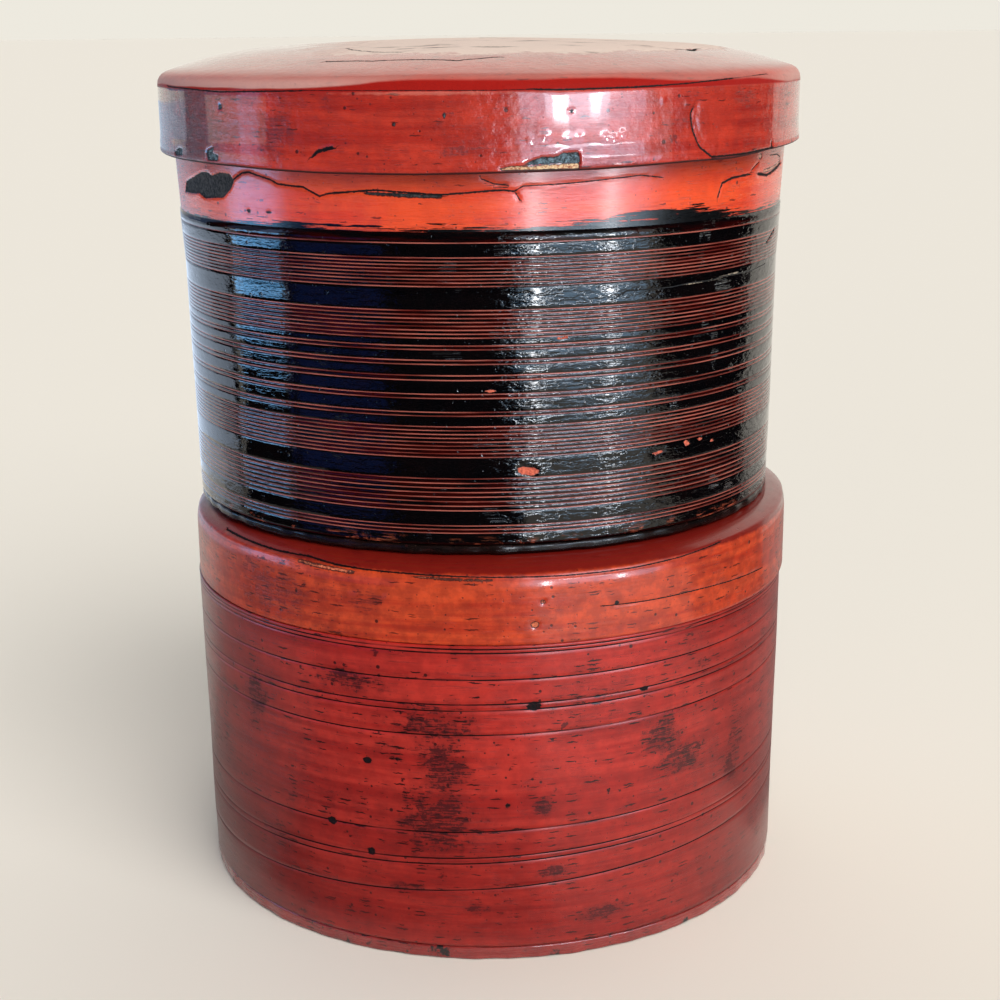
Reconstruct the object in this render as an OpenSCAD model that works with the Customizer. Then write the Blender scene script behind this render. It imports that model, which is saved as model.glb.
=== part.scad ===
// Lacquer betel boxes: a black striped box with a domed lid, standing on a red box with a flush lid.
// Both are bamboo cores with a lacquer coat, turned on a lathe, and each holds one lift-out tray.
// The origin is the middle of the lower box's underside, and the photographed front is towards -Y.

/* [Lower box] */
// Diameter of the lower box at the table
lower_base_d = 147.6; // [130:0.2:170]
// Height of the shoulder that the lower lid sits on
lower_shoulder_h = 77.4; // [65:0.2:100]
// Wall of the lower box at its foot, under the lacquer
lower_wall_t = 4; // [3:0.1:6]
// Thickness of the neck hoop that the lower lid slides over
neck_t = 2.6; // [2:0.1:4]
// Depth that the neck hoop is let into the wall
neck_seat = 12; // [8:0.5:16]

/* [Lower lid] */
// Height of the lower lid's hoop
lower_lid_hoop_h = 14; // [10:0.2:20]
// Thickness of the lower lid's hoop, under the lacquer
lower_lid_hoop_t = 2.2; // [1.6:0.1:4]
// Thickness of the lower lid's top panel, under the lacquer
lower_lid_panel_t = 3.8; // [3.2:0.1:6]
// Width of the rounded margin of the lower lid's top
lower_lid_margin = 8.6; // [5:0.2:9.4]
// Radius of that rounded margin, in section
lower_lid_margin_r = 14; // [13:0.5:30]

/* [Upper box] */
// Diameter of the upper box at its foot
upper_base_d = 145.2; // [130:0.2:160]
// Diameter of the upper box at its mouth
upper_mouth_d = 150.8; // [137:0.2:167]
// Outward flare of the upper wall below its lid
upper_flare = 1; // [0:0.1:3]
// Height over which the flare grows
upper_flare_h = 26; // [10:1:40]
// Height of the upper box from its foot to its mouth
upper_mouth_h = 96.6; // [85:0.2:120]
// Wall of the upper box at its narrower end, under the lacquer
upper_wall_t = 4; // [3:0.1:6]
// Distance that the upper box stands behind the lower one's axis
upper_back = 5; // [0:0.5:8]
// Distance that the upper box stands to the left of the lower one's axis
upper_left = 1.2; // [0:0.1:4]

/* [Upper lid] */
// Length of the upper lid's hoop below the mouth
upper_lid_drop = 11.7; // [8:0.1:20]
// Thickness of the upper lid's hoop, under the lacquer
upper_lid_hoop_t = 1.7; // [1.2:0.1:4]
// Height of the upper lid's straight rim above the mouth
upper_lid_edge_h = 5.2; // [2.4:0.1:8]
// Rounding of the rim's upper edge
upper_lid_rim_round = 1.8; // [1.6:0.1:3]
// Radius of the dome's shoulder between rim and crown, in section
upper_lid_shoulder = 94.5; // [70:0.5:140]
// Diameter of the dome's flatter crown
upper_lid_crown_d = 100; // [60:1:120]
// Rise of the crown above its own edge
upper_lid_crown_rise = 1.6; // [0.6:0.1:3]
// Thickness of the domed panel, under the lacquer
upper_lid_panel_t = 4; // [3:0.1:6]
// Width of the panel's flat seat inside the upper box's bore
upper_lid_seat = 1.5; // [0.5:0.1:4]
// Rounding of the upper lid's lower edge
upper_lid_round = 1.8; // [0.5:0.1:2.4]

/* [Feet and bottoms] */
// Height of the lower box's foot hoop
lower_foot_h = 3.4; // [2.6:0.1:8]
// Height of the upper box's foot hoop
upper_foot_h = 2.6; // [2.4:0.1:8]
// Width of both foot hoops
foot_w = 7.8; // [6:0.1:12]
// Rounding of the foot hoops' outer edges
foot_round = 1.2; // [0.4:0.1:1.2]
// Thickness of the bottom boards above the foot hoops
bottom_t = 3; // [2:0.1:6]

/* [Trays] */
// Height of a tray
tray_h = 26; // [15:0.5:35]
// Wall of a tray
tray_wall_t = 2.4; // [1.6:0.1:4]
// Floor of a tray
tray_floor_t = 2.6; // [1.6:0.1:5]
// Depth of a tray's rim below the mouth of its box
tray_sink = 2.5; // [1:0.1:6]
// Width of the ledge that carries a tray
ledge_w = 3; // [2:0.1:5]
// Height of the ledge that carries a tray
ledge_h = 5; // [3:0.1:8]

/* [Lacquer] */
// Red lacquer on the lower box and on both lids
lacquer_t = 0.8; // [0.5:0.05:1.5]
// Orange-red undercoat of the upper box
undercoat_t = 0.5; // [0.3:0.05:1]
// Black lacquer over the undercoat
black_t = 0.35; // [0.2:0.05:0.8]
// Height of bare undercoat from the black lacquer up to the mouth
collar_h = 24.1; // [18:0.1:34]
// Width of the fine lines cut through the black lacquer
line_w = 0.4; // [0.2:0.05:0.6]
// Width of the turned grooves in the red lacquer
groove_w = 0.6; // [0.3:0.05:1.2]
// Depth of the turned grooves in the red lacquer
groove_d = 0.35; // [0.1:0.05:0.45]

/* [Fits] */
// Radial room between a lid's hoop and what it slides over
lid_gap = 0.45; // [0.3:0.05:1]
// Radial room between a tray and its box
tray_gap = 0.6; // [0.4:0.05:1.5]
// Room between the neck hoop and the lower lid's panel
neck_gap = 2; // [0.5:0.1:4]
// Step by which the lower lid stands proud of the wall below it
seam_step = 0.2; // [0:0.05:0.6]

/* [Hidden] */
$fn = 128;

// Groups of fine lines in the black lacquer: height of the lowest above the foot, number, pitch
LINE_GROUPS = [
    [5.25, 3, 0.84], [10.4, 8, 1.04], [22.5, 9, 0.86],
    [31.75, 2, 0.84], [35.65, 2, 0.92], [39.65, 2, 1.04], [43.15, 2, 0.87], [46.35, 2, 0.84],
    [48.9, 8, 0.85], [60, 9, 0.77], [69.3, 2, 0.87]
];
// Grooves of the red lacquer, as heights above the table
GROOVES = [18.3, 24.8, 26.2, 32.6, 56.2, 62, 63.5, 69.3, 75.6, 76.5];
// Steps of a rounded corner, of the lower lid's wide margin and of each zone of the upper lid's dome
CORNER_STEPS = 4;
MARGIN_STEPS = 8;
DOME_STEPS = 8;

// Colours of the pieces
BAMBOO = [0.70, 0.55, 0.34];
BOARD = [0.50, 0.36, 0.22];
INNER_RED = [0.45, 0.10, 0.07];
BRICK_RED = [0.55, 0.13, 0.10];
ORANGE_BROWN = [0.68, 0.24, 0.12];
ORANGE_RED = [0.85, 0.28, 0.10];
BLACK = [0.05, 0.05, 0.06];
PUTTY = [0.22, 0.22, 0.22];

// Lower box, radii from the axis and heights from the table
lower_base_r = lower_base_d / 2;
lower_bore_r = lower_base_r - lacquer_t - lower_wall_t;
neck_r = lower_bore_r + neck_t;
lower_lid_hoop_r = neck_r + lid_gap;
lower_lid_core_r = lower_lid_hoop_r + lower_lid_hoop_t;
lower_lid_r = lower_lid_core_r + lacquer_t;
lower_shoulder_r = lower_lid_r - seam_step;
lower_panel_z = lower_shoulder_h + lower_lid_hoop_h;
lower_top = lower_panel_z + lower_lid_panel_t + lacquer_t;
neck_top = lower_panel_z - neck_gap;
lower_tray_z = neck_top - tray_sink - tray_h;

// Upper box, radii from its own axis and heights from its own foot
upper_coats_t = undercoat_t + black_t;
upper_base_r = upper_base_d / 2;
upper_mouth_r = upper_mouth_d / 2;
upper_bore_r = min(upper_base_r, upper_mouth_r - upper_flare) - upper_coats_t - upper_wall_t;
upper_lid_hoop_r = max(upper_mouth_r, upper_base_r) + lid_gap;
upper_lid_core_r = upper_lid_hoop_r + upper_lid_hoop_t;
upper_lid_r = upper_lid_core_r + lacquer_t;
upper_lid_low = upper_mouth_h - upper_lid_drop;
flare_low = upper_lid_low - upper_flare_h;
// Rim, shoulder and crown of the lid's dome run on from one another without a step
rim_axis = [upper_lid_r - upper_lid_rim_round, upper_mouth_h + upper_lid_edge_h];
crown_edge_r = upper_lid_crown_d / 2;
crown_r = (pow(crown_edge_r, 2) + pow(upper_lid_crown_rise, 2)) / (2 * upper_lid_crown_rise);
crown_a = acos(crown_edge_r / crown_r);
shoulder_reach = upper_lid_shoulder - upper_lid_rim_round;
shoulder_a = acos((rim_axis[0] + upper_lid_shoulder * cos(crown_a) - crown_edge_r) / shoulder_reach);
shoulder_axis = rim_axis - shoulder_reach * [cos(shoulder_a), sin(shoulder_a)];
upper_lid_top = shoulder_axis[1] + upper_lid_shoulder * sin(crown_a) + upper_lid_crown_rise;
crown_z = upper_lid_top - crown_r;
upper_tray_z = upper_mouth_h - tray_sink - tray_h;
black_top = upper_mouth_h - collar_h;
LINES = [
    for (group = LINE_GROUPS)
        for (i = [0 : group[1] - 1])
            let (z = group[0] + i * group[2])
                if (z > upper_foot_h + line_w && z < black_top - line_w) z
];

// Outside radius of the lower and the upper wall at a height
function lower_r(z) = lower_base_r + (lower_shoulder_r - lower_base_r) * z / lower_shoulder_h;
function upper_r(z) =
    upper_base_r + (upper_mouth_r - upper_flare - upper_base_r) * z / upper_mouth_h
    + upper_flare * min(1, max(0, (z - flare_low) / upper_flare_h));

// Points of an arc about a centre in the section plane
function arc(centre, r, from, to, steps) = [
    for (i = [0 : steps])
        let (a = from + (to - from) * i / steps)
            centre + r * [cos(a), sin(a)]
];

// A ring with a plain rectangular section
module hoop(r_in, r_out, low, high) {
    rotate_extrude() translate([r_in, low]) square([r_out - r_in, high - low]);
}

// A ring turned from a section outline of radius and height
module turned(outline) {
    rotate_extrude() polygon(outline);
}

// A skin between two heights, with its outside radius given at each height
module skin(low, high, r_low, r_high, thick) {
    turned([[r_low - thick, low], [r_low, low], [r_high, high], [r_high - thick, high]]);
}

// Points up the upper wall between two heights, at a depth below its face
function upper_side(low, high, depth) =
    let (bends = [for (z = [flare_low, upper_lid_low]) if (z > low && z < high) z])
    [for (z = concat([low], bends, [high])) [upper_r(z) - depth, z]];

// A skin on the upper wall between two heights
module upper_skin(low, high, depth, thick) {
    inner = upper_side(low, high, depth + thick);
    turned(concat(
        upper_side(low, high, depth),
        [for (i = [len(inner) - 1 : -1 : 0]) inner[i]]
    ));
}

// A foot hoop with rounded outer edges
module foot_hoop(r_out, high) {
    turned(concat(
        [[r_out - foot_w, 0]],
        arc([r_out - foot_round, foot_round], foot_round, -90, 0, CORNER_STEPS),
        arc([r_out - foot_round, high - foot_round], foot_round, 0, 90, CORNER_STEPS),
        [[r_out - foot_w, high]]
    ));
}

// A bottom board that fills the foot hoop and lies on its inner edge
module bottom_board(foot_r, bore_r, foot_h) {
    cylinder(h = foot_h, r = foot_r - foot_w);
    translate([0, 0, foot_h]) cylinder(h = bottom_t, r = bore_r);
}

// The floor and the wall of a tray that stands on its ledge
module tray_floor(bore_r) {
    cylinder(h = tray_floor_t, r = bore_r - tray_gap);
}

module tray_wall(bore_r) {
    hoop(bore_r - tray_gap - tray_wall_t, bore_r - tray_gap, tray_floor_t, tray_h);
}

// The ledge hoop under a tray
module tray_ledge(bore_r) {
    hoop(bore_r - ledge_w, bore_r, -ledge_h, 0);
}

// Section of the dome from a radius in to the axis, at a depth below its lacquered face
function dome_outline(depth, r) =
    let (
        wide = upper_lid_shoulder - depth,
        flat = crown_r - depth,
        on_shoulder = r > flat * cos(crown_a),
        step = (90 - crown_a) / DOME_STEPS
    )
    concat(
        on_shoulder ? arc(shoulder_axis, wide, acos((r - shoulder_axis[0]) / wide), crown_a, DOME_STEPS) : [],
        arc([0, crown_z], flat, on_shoulder ? crown_a + step : acos(r / flat), 90, DOME_STEPS - 1)
    );

// Section of the domed lid from a height up, at a depth below its lacquered face
function upper_lid_outline(depth, low) =
    let (
        r = upper_lid_rim_round - depth,
        step = shoulder_a / CORNER_STEPS
    )
    concat(
        [[0, low], [upper_lid_r - depth, low]],
        arc(rim_axis, r, 0, shoulder_a - step, CORNER_STEPS - 1),
        dome_outline(depth, rim_axis[0] + r * cos(shoulder_a))
    );

// Section of the hollow under the dome, inside the flat seat
function lid_hollow_outline(low) =
    let (r = upper_bore_r - upper_lid_seat)
    concat([[0, low], [r, low]], dome_outline(lacquer_t + upper_lid_panel_t, r));

// Everything inside the upper lid's rounded lower edge
module lid_edge_block() {
    turned(concat(
        [[0, upper_lid_low]],
        arc([upper_lid_r - upper_lid_round, upper_lid_low + upper_lid_round],
            upper_lid_round, -90, 0, CORNER_STEPS),
        [[upper_lid_r, upper_lid_top], [0, upper_lid_top]]
    ));
}

// Section of the lower lid's top, at a depth below its lacquered face
function lower_lid_outline(depth, low) =
    let (
        centre = [lower_lid_r - lower_lid_margin, lower_top - lower_lid_margin_r],
        r = lower_lid_margin_r - depth,
        corner_a = acos((lower_lid_margin - depth) / r)
    )
    concat(
        [[0, low], [lower_lid_r - depth, low]],
        arc(centre, r, corner_a, 90, MARGIN_STEPS),
        [[0, lower_top - depth]]
    );

// Places a piece of the upper box on the lower lid
module on_lower_lid() {
    translate([-upper_left, upper_back, lower_top]) children();
}

module lower_foot_hoop() {
    color(BRICK_RED) foot_hoop(lower_base_r, lower_foot_h);
}

module lower_bottom() {
    color(BOARD) bottom_board(lower_base_r, lower_bore_r, lower_foot_h);
}

module lower_wall() {
    seat_z = lower_shoulder_h - neck_seat;
    color(BAMBOO) turned([
        [lower_bore_r, lower_foot_h],
        [lower_r(lower_foot_h) - lacquer_t, lower_foot_h],
        [lower_shoulder_r - lacquer_t, lower_shoulder_h],
        [neck_r, lower_shoulder_h],
        [neck_r, seat_z],
        [lower_bore_r, seat_z]
    ]);
}

module lower_neck_hoop() {
    color(INNER_RED) hoop(lower_bore_r, neck_r, lower_shoulder_h - neck_seat, neck_top);
}

module lower_lacquer() {
    color(BRICK_RED) difference() {
        skin(lower_foot_h, lower_shoulder_h, lower_r(lower_foot_h), lower_shoulder_r, lacquer_t);
        for (z = GROOVES)
            turned([
                [lower_r(z) - groove_d, z],
                [lower_r(z) + groove_d, z - groove_w],
                [lower_r(z) + groove_d, z + groove_w]
            ]);
    }
}

module lower_tray_ledge() {
    color(INNER_RED) translate([0, 0, lower_tray_z]) tray_ledge(lower_bore_r);
}

module lower_tray_floor() {
    color(BOARD) translate([0, 0, lower_tray_z]) tray_floor(lower_bore_r);
}

module lower_tray_wall() {
    color(ORANGE_RED) translate([0, 0, lower_tray_z]) tray_wall(lower_bore_r);
}

module lower_lid_hoop() {
    color(BAMBOO) hoop(lower_lid_hoop_r, lower_lid_core_r, lower_shoulder_h, lower_panel_z);
}

module lower_lid_panel() {
    color(BAMBOO) turned(lower_lid_outline(lacquer_t, lower_panel_z));
}

module lower_lid_lacquer() {
    color(ORANGE_BROWN) difference() {
        turned(lower_lid_outline(0, lower_shoulder_h));
        turned(lower_lid_outline(lacquer_t, lower_shoulder_h - lacquer_t));
    }
}

module upper_foot_hoop() {
    color(PUTTY) on_lower_lid() foot_hoop(upper_base_r, upper_foot_h);
}

module upper_bottom() {
    color(BOARD) on_lower_lid() bottom_board(upper_base_r, upper_bore_r, upper_foot_h);
}

module upper_wall() {
    color(PUTTY) on_lower_lid() turned(concat(
        [[upper_bore_r, upper_foot_h]],
        upper_side(upper_foot_h, upper_mouth_h, upper_coats_t),
        [[upper_bore_r, upper_mouth_h]]
    ));
}

module upper_undercoat() {
    color(ORANGE_RED) on_lower_lid() upper_skin(upper_foot_h, upper_mouth_h, black_t, undercoat_t);
}

module upper_black_lacquer() {
    last = len(LINES);
    color(BLACK) on_lower_lid()
        for (i = [0 : last]) {
            low = i == 0 ? upper_foot_h : LINES[i - 1] + line_w / 2;
            high = i == last ? black_top : LINES[i] - line_w / 2;
            upper_skin(low, high, 0, black_t);
        }
}

module upper_tray_ledge() {
    color(INNER_RED) on_lower_lid() translate([0, 0, upper_tray_z]) tray_ledge(upper_bore_r);
}

module upper_tray_floor() {
    color(BOARD) on_lower_lid() translate([0, 0, upper_tray_z]) tray_floor(upper_bore_r);
}

module upper_tray_wall() {
    color(ORANGE_RED) on_lower_lid() translate([0, 0, upper_tray_z]) tray_wall(upper_bore_r);
}

module upper_lid_hoop() {
    color(BAMBOO) on_lower_lid() intersection() {
        hoop(upper_lid_hoop_r, upper_lid_core_r, upper_lid_low, upper_mouth_h);
        lid_edge_block();
    }
}

module upper_lid_panel() {
    color(BAMBOO) on_lower_lid() difference() {
        turned(upper_lid_outline(lacquer_t, upper_mouth_h));
        turned(lid_hollow_outline(upper_mouth_h - bottom_t));
    }
}

module upper_lid_lacquer() {
    color(BRICK_RED) on_lower_lid() intersection() {
        difference() {
            turned(upper_lid_outline(0, upper_lid_low));
            turned(upper_lid_outline(lacquer_t, upper_lid_low - lacquer_t));
        }
        lid_edge_block();
    }
}

lower_foot_hoop();
lower_bottom();
lower_wall();
lower_neck_hoop();
lower_lacquer();
lower_tray_ledge();
lower_tray_floor();
lower_tray_wall();
lower_lid_hoop();
lower_lid_panel();
lower_lid_lacquer();
upper_foot_hoop();
upper_bottom();
upper_wall();
upper_undercoat();
upper_black_lacquer();
upper_tray_ledge();
upper_tray_floor();
upper_tray_wall();
upper_lid_hoop();
upper_lid_panel();
upper_lid_lacquer();
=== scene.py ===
"""Looks of two stacked lacquer betel boxes: worn turned coats, hoops, trays, studio light and camera.

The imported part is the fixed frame. Each lacquer coat is turned anew with its cut lines, cracks and chips, the
hoops and trays get rounded edges, and every surface gets a procedural finish. Lengths are in millimetres, the
studio's in metres, and angles in degrees from the front towards the right.
"""
import logging
import math
from dataclasses import dataclass, field, replace
from enum import Enum
from functools import cache, partial, reduce
from typing import ClassVar, Iterable, Optional, Sequence, Union

import bmesh
import bpy
import numpy as np
from mathutils import Matrix, Vector


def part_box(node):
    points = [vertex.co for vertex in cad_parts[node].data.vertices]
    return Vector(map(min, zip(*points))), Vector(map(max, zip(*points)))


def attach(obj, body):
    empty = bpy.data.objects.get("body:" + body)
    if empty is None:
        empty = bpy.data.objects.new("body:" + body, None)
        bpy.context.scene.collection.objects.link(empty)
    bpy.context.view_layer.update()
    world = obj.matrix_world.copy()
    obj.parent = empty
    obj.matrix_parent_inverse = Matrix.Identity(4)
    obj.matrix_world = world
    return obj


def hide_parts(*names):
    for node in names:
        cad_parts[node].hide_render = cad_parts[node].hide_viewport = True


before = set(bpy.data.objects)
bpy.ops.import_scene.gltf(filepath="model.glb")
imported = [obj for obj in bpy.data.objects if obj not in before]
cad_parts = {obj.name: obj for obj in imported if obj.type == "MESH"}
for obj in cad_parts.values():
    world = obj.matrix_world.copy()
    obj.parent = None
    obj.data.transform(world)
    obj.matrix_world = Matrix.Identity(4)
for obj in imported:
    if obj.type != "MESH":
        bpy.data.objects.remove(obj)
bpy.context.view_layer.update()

log = logging.getLogger("betel_boxes")

MM = 0.001
FAR = 50.0
MERGE = 1e-7

Point = tuple[float, float]
Points = tuple[Point, ...]
Outline = list[Point]
Colour = tuple[float, float, float, float]
Piece = bpy.types.Object
Tree = bpy.types.NodeTree
Socket = bpy.types.NodeSocket
Sockets = dict[str, Socket]
Feed = Union[Socket, float, Sequence[float]]


def tint(red: int, green: int, blue: int) -> Colour:
    """Turns a screen colour into a linear one.

    Args:
        red: Red from 0 to 255.
        green: Green from 0 to 255.
        blue: Blue from 0 to 255.

    Returns:
        The linear colour with full alpha.
    """
    shares = [channel / 255 for channel in (red, green, blue)]
    linear = [s / 12.92 if s <= 0.04045 else ((s + 0.055) / 1.055) ** 2.4 for s in shares]
    return (*linear, 1.0)


# Marks that age and use have left on the coats

SPOT_DEPTH = 0.12


class Face(Enum):
    """How the two numbers of a mark's point are read: angle with height, or angle with radius."""

    WALL = "wall"
    TOP = "top"


class Ground(Enum):
    """What a chip lays bare, named by the mesh attribute that carries it."""

    PUTTY = "chip_putty"
    UNDER = "chip_under"


@dataclass(frozen=True)
class Crack:
    """An open line in a coat, through points of angle and height or radius."""

    points: Points
    face: Face = Face.WALL
    width: float = 0.5
    depth: float = 0.3
    lift: float = 0.0


@dataclass(frozen=True)
class Chip:
    """A flake lost from a coat, with its outline."""

    points: Points
    ground: Ground = Ground.PUTTY
    depth: float = 0.6


@dataclass(frozen=True)
class Blister:
    """A small round rise or, with a negative rise, a small round pit."""

    angle: float
    height: float
    radius: float
    rise: float


@dataclass(frozen=True)
class Cloud:
    """A soft patch of another tone round one place on a wall."""

    angle: float
    height: float
    half_angle: float
    half_height: float


Mark = Union[Crack, Chip, Blister]
Waves = tuple[tuple[int, float, float], ...]


def spot(
    angle: float, height: float, half_angle: float, half_height: float, ground: Ground = Ground.PUTTY
) -> Chip:
    """A small shallow chip, about round."""
    corners = ((0, 1), (0.8, 0.6), (1, -0.2), (0.4, -1), (-0.6, -0.8), (-1, 0.3))
    points = tuple((angle + a * half_angle, height + h * half_height) for a, h in corners)
    return Chip(points, ground, SPOT_DEPTH)


# Turning


@dataclass(frozen=True)
class Ring:
    """Axis, radii and heights of a turned node of the frame."""

    x: float
    y: float
    inner: float
    outer: float
    low: float
    high: float

    @classmethod
    def of(cls, node: str) -> "Ring":
        """Reads a node's ring from the frame.

        Args:
            node: The node's name.

        Returns:
            Its axis, radii and heights.
        """
        low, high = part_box(node)
        x, y = (low.x + high.x) / 2, (low.y + high.y) / 2
        radii = [math.hypot(v.co.x - x, v.co.y - y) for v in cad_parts[node].data.vertices]
        return cls(x / MM, y / MM, min(radii) / MM, max(radii) / MM, low.z / MM, high.z / MM)

    @property
    def axis(self) -> Point:
        """The axis in plan."""
        return self.x, self.y


@dataclass(frozen=True)
class Lathe:
    """How finely an outline is turned: the front takes fine steps, the back coarse ones."""

    front_angle: float = 160.0
    front_steps: int = 400
    back_steps: int = 110
    wedge_steps: int = 10

    def turn(self, name: str, outline: Outline, axis: Point) -> Piece:
        """Spins a closed or pole-to-pole outline about a vertical axis.

        Args:
            name: The new piece's name.
            outline: Radius and height of each corner.
            axis: The axis in plan.

        Returns:
            The new piece, smooth shaded.
        """
        shape = bmesh.new()
        seat = Matrix.Translation((axis[0] * MM, axis[1] * MM, 0))
        heading = -self.front_angle / 2
        for angle, steps in ((self.front_angle, self.front_steps), (360 - self.front_angle, self.back_steps)):
            wedges = steps // self.wedge_steps
            wedge = self.wedge(name, outline, angle / wedges)
            wedge.transform(seat @ Matrix.Rotation(math.radians(heading), 4, "Z"))
            onward = seat @ Matrix.Rotation(math.radians(angle / wedges), 4, "Z") @ seat.inverted()
            for _ in range(wedges):
                shape.from_mesh(wedge)
                wedge.transform(onward)
            bpy.data.meshes.remove(wedge)
            heading += angle
        bmesh.ops.remove_doubles(shape, verts=shape.verts, dist=MERGE)
        bmesh.ops.recalc_face_normals(shape, faces=shape.faces)
        return finished(name, shape)

    def wedge(self, name: str, outline: Outline, angle: float) -> bpy.types.Mesh:
        """Spins one wedge of an outline about the upright axis.

        Args:
            name: The mesh's name.
            outline: Radius and height of each corner.
            angle: The wedge's angle.

        Returns:
            The wedge, from the front towards the right.
        """
        shape = bmesh.new()
        corners = [shape.verts.new((0, -r * MM, z * MM)) for r, z in outline]
        loop = corners if outline[0][0] == 0 and outline[-1][0] == 0 else corners + corners[:1]
        edges = [shape.edges.new(pair) for pair in zip(loop, loop[1:])]
        bmesh.ops.spin(
            shape, geom=corners + edges, cent=(0, 0, 0), axis=(0, 0, 1),
            angle=math.radians(angle), steps=self.wedge_steps,
        )
        mesh = bpy.data.meshes.new(name)
        shape.to_mesh(mesh)
        shape.free()
        return mesh


def finished(name: str, shape: bmesh.types.BMesh) -> Piece:
    """Makes a smooth-shaded object of a finished shape.

    Args:
        name: The new piece's name.
        shape: The shape, which is freed.

    Returns:
        The new object, linked to the scene.
    """
    mesh = bpy.data.meshes.new(name)
    shape.to_mesh(mesh)
    shape.free()
    mesh.polygons.foreach_set("use_smooth", [True] * len(mesh.polygons))
    made = bpy.data.objects.new(name, mesh)
    bpy.context.scene.collection.objects.link(made)
    return made


def rows(start: float, end: float, pitch: float) -> list[float]:
    """Even values from start to end, at most a pitch apart, with both ends."""
    count = max(1, math.ceil(abs(end - start) / pitch))
    return [start + (end - start) * i / count for i in range(count + 1)]


def arc(centre: Point, radius: float, start: float, end: float, steps: int) -> Outline:
    """Points of an arc in the section plane, from one angle to another."""
    angles = [math.radians(a) for a in np.linspace(start, end, steps + 1)]
    return [(centre[0] + radius * math.cos(a), centre[1] + radius * math.sin(a)) for a in angles]


def rounded_ring(ring: Ring, rounding: float, pitch: float = 4.0) -> Outline:
    """Section of a plain hoop or disc with rounded outer edges.

    Args:
        ring: The hoop's radii and heights.
        rounding: Radius of its rounded edges.
        pitch: Longest step along a straight stretch.

    Returns:
        The closed outline, or one from pole to pole for a disc.
    """
    solid = ring.inner < rounding
    inner = 0.0 if solid else ring.inner
    outer, low, high = ring.outer, ring.low, ring.high
    right = arc((outer - rounding, low + rounding), rounding, -90, 0, 4)
    right += arc((outer - rounding, high - rounding), rounding, 0, 90, 4)
    if solid:
        under = [(r, low) for r in rows(0, outer - rounding, pitch)[:-1]]
        over = [(r, high) for r in rows(outer - rounding, 0, pitch)[1:]]
        return under + right + over
    left = arc((inner + rounding, high - rounding), rounding, 90, 180, 4)
    left += arc((inner + rounding, low + rounding), rounding, 180, 270, 4)
    return right + left


# Weathering

# Least outward share of a normal on the outside of a coat
FACING = -0.2
# Width to which the damage effect draws every crack
DRAWN_CRACK = 0.5
# Share of a crack's width over which its sides slope
CRACK_SLOPE = 1.1
# Distance from a crack to the top of its lip
LIP = 1.0
# Width of a chip's sloped edge
CHIP_SLOPE = 0.5
# Distance within which a vertex belongs to a row
ROW_NEAR = 0.01


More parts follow.
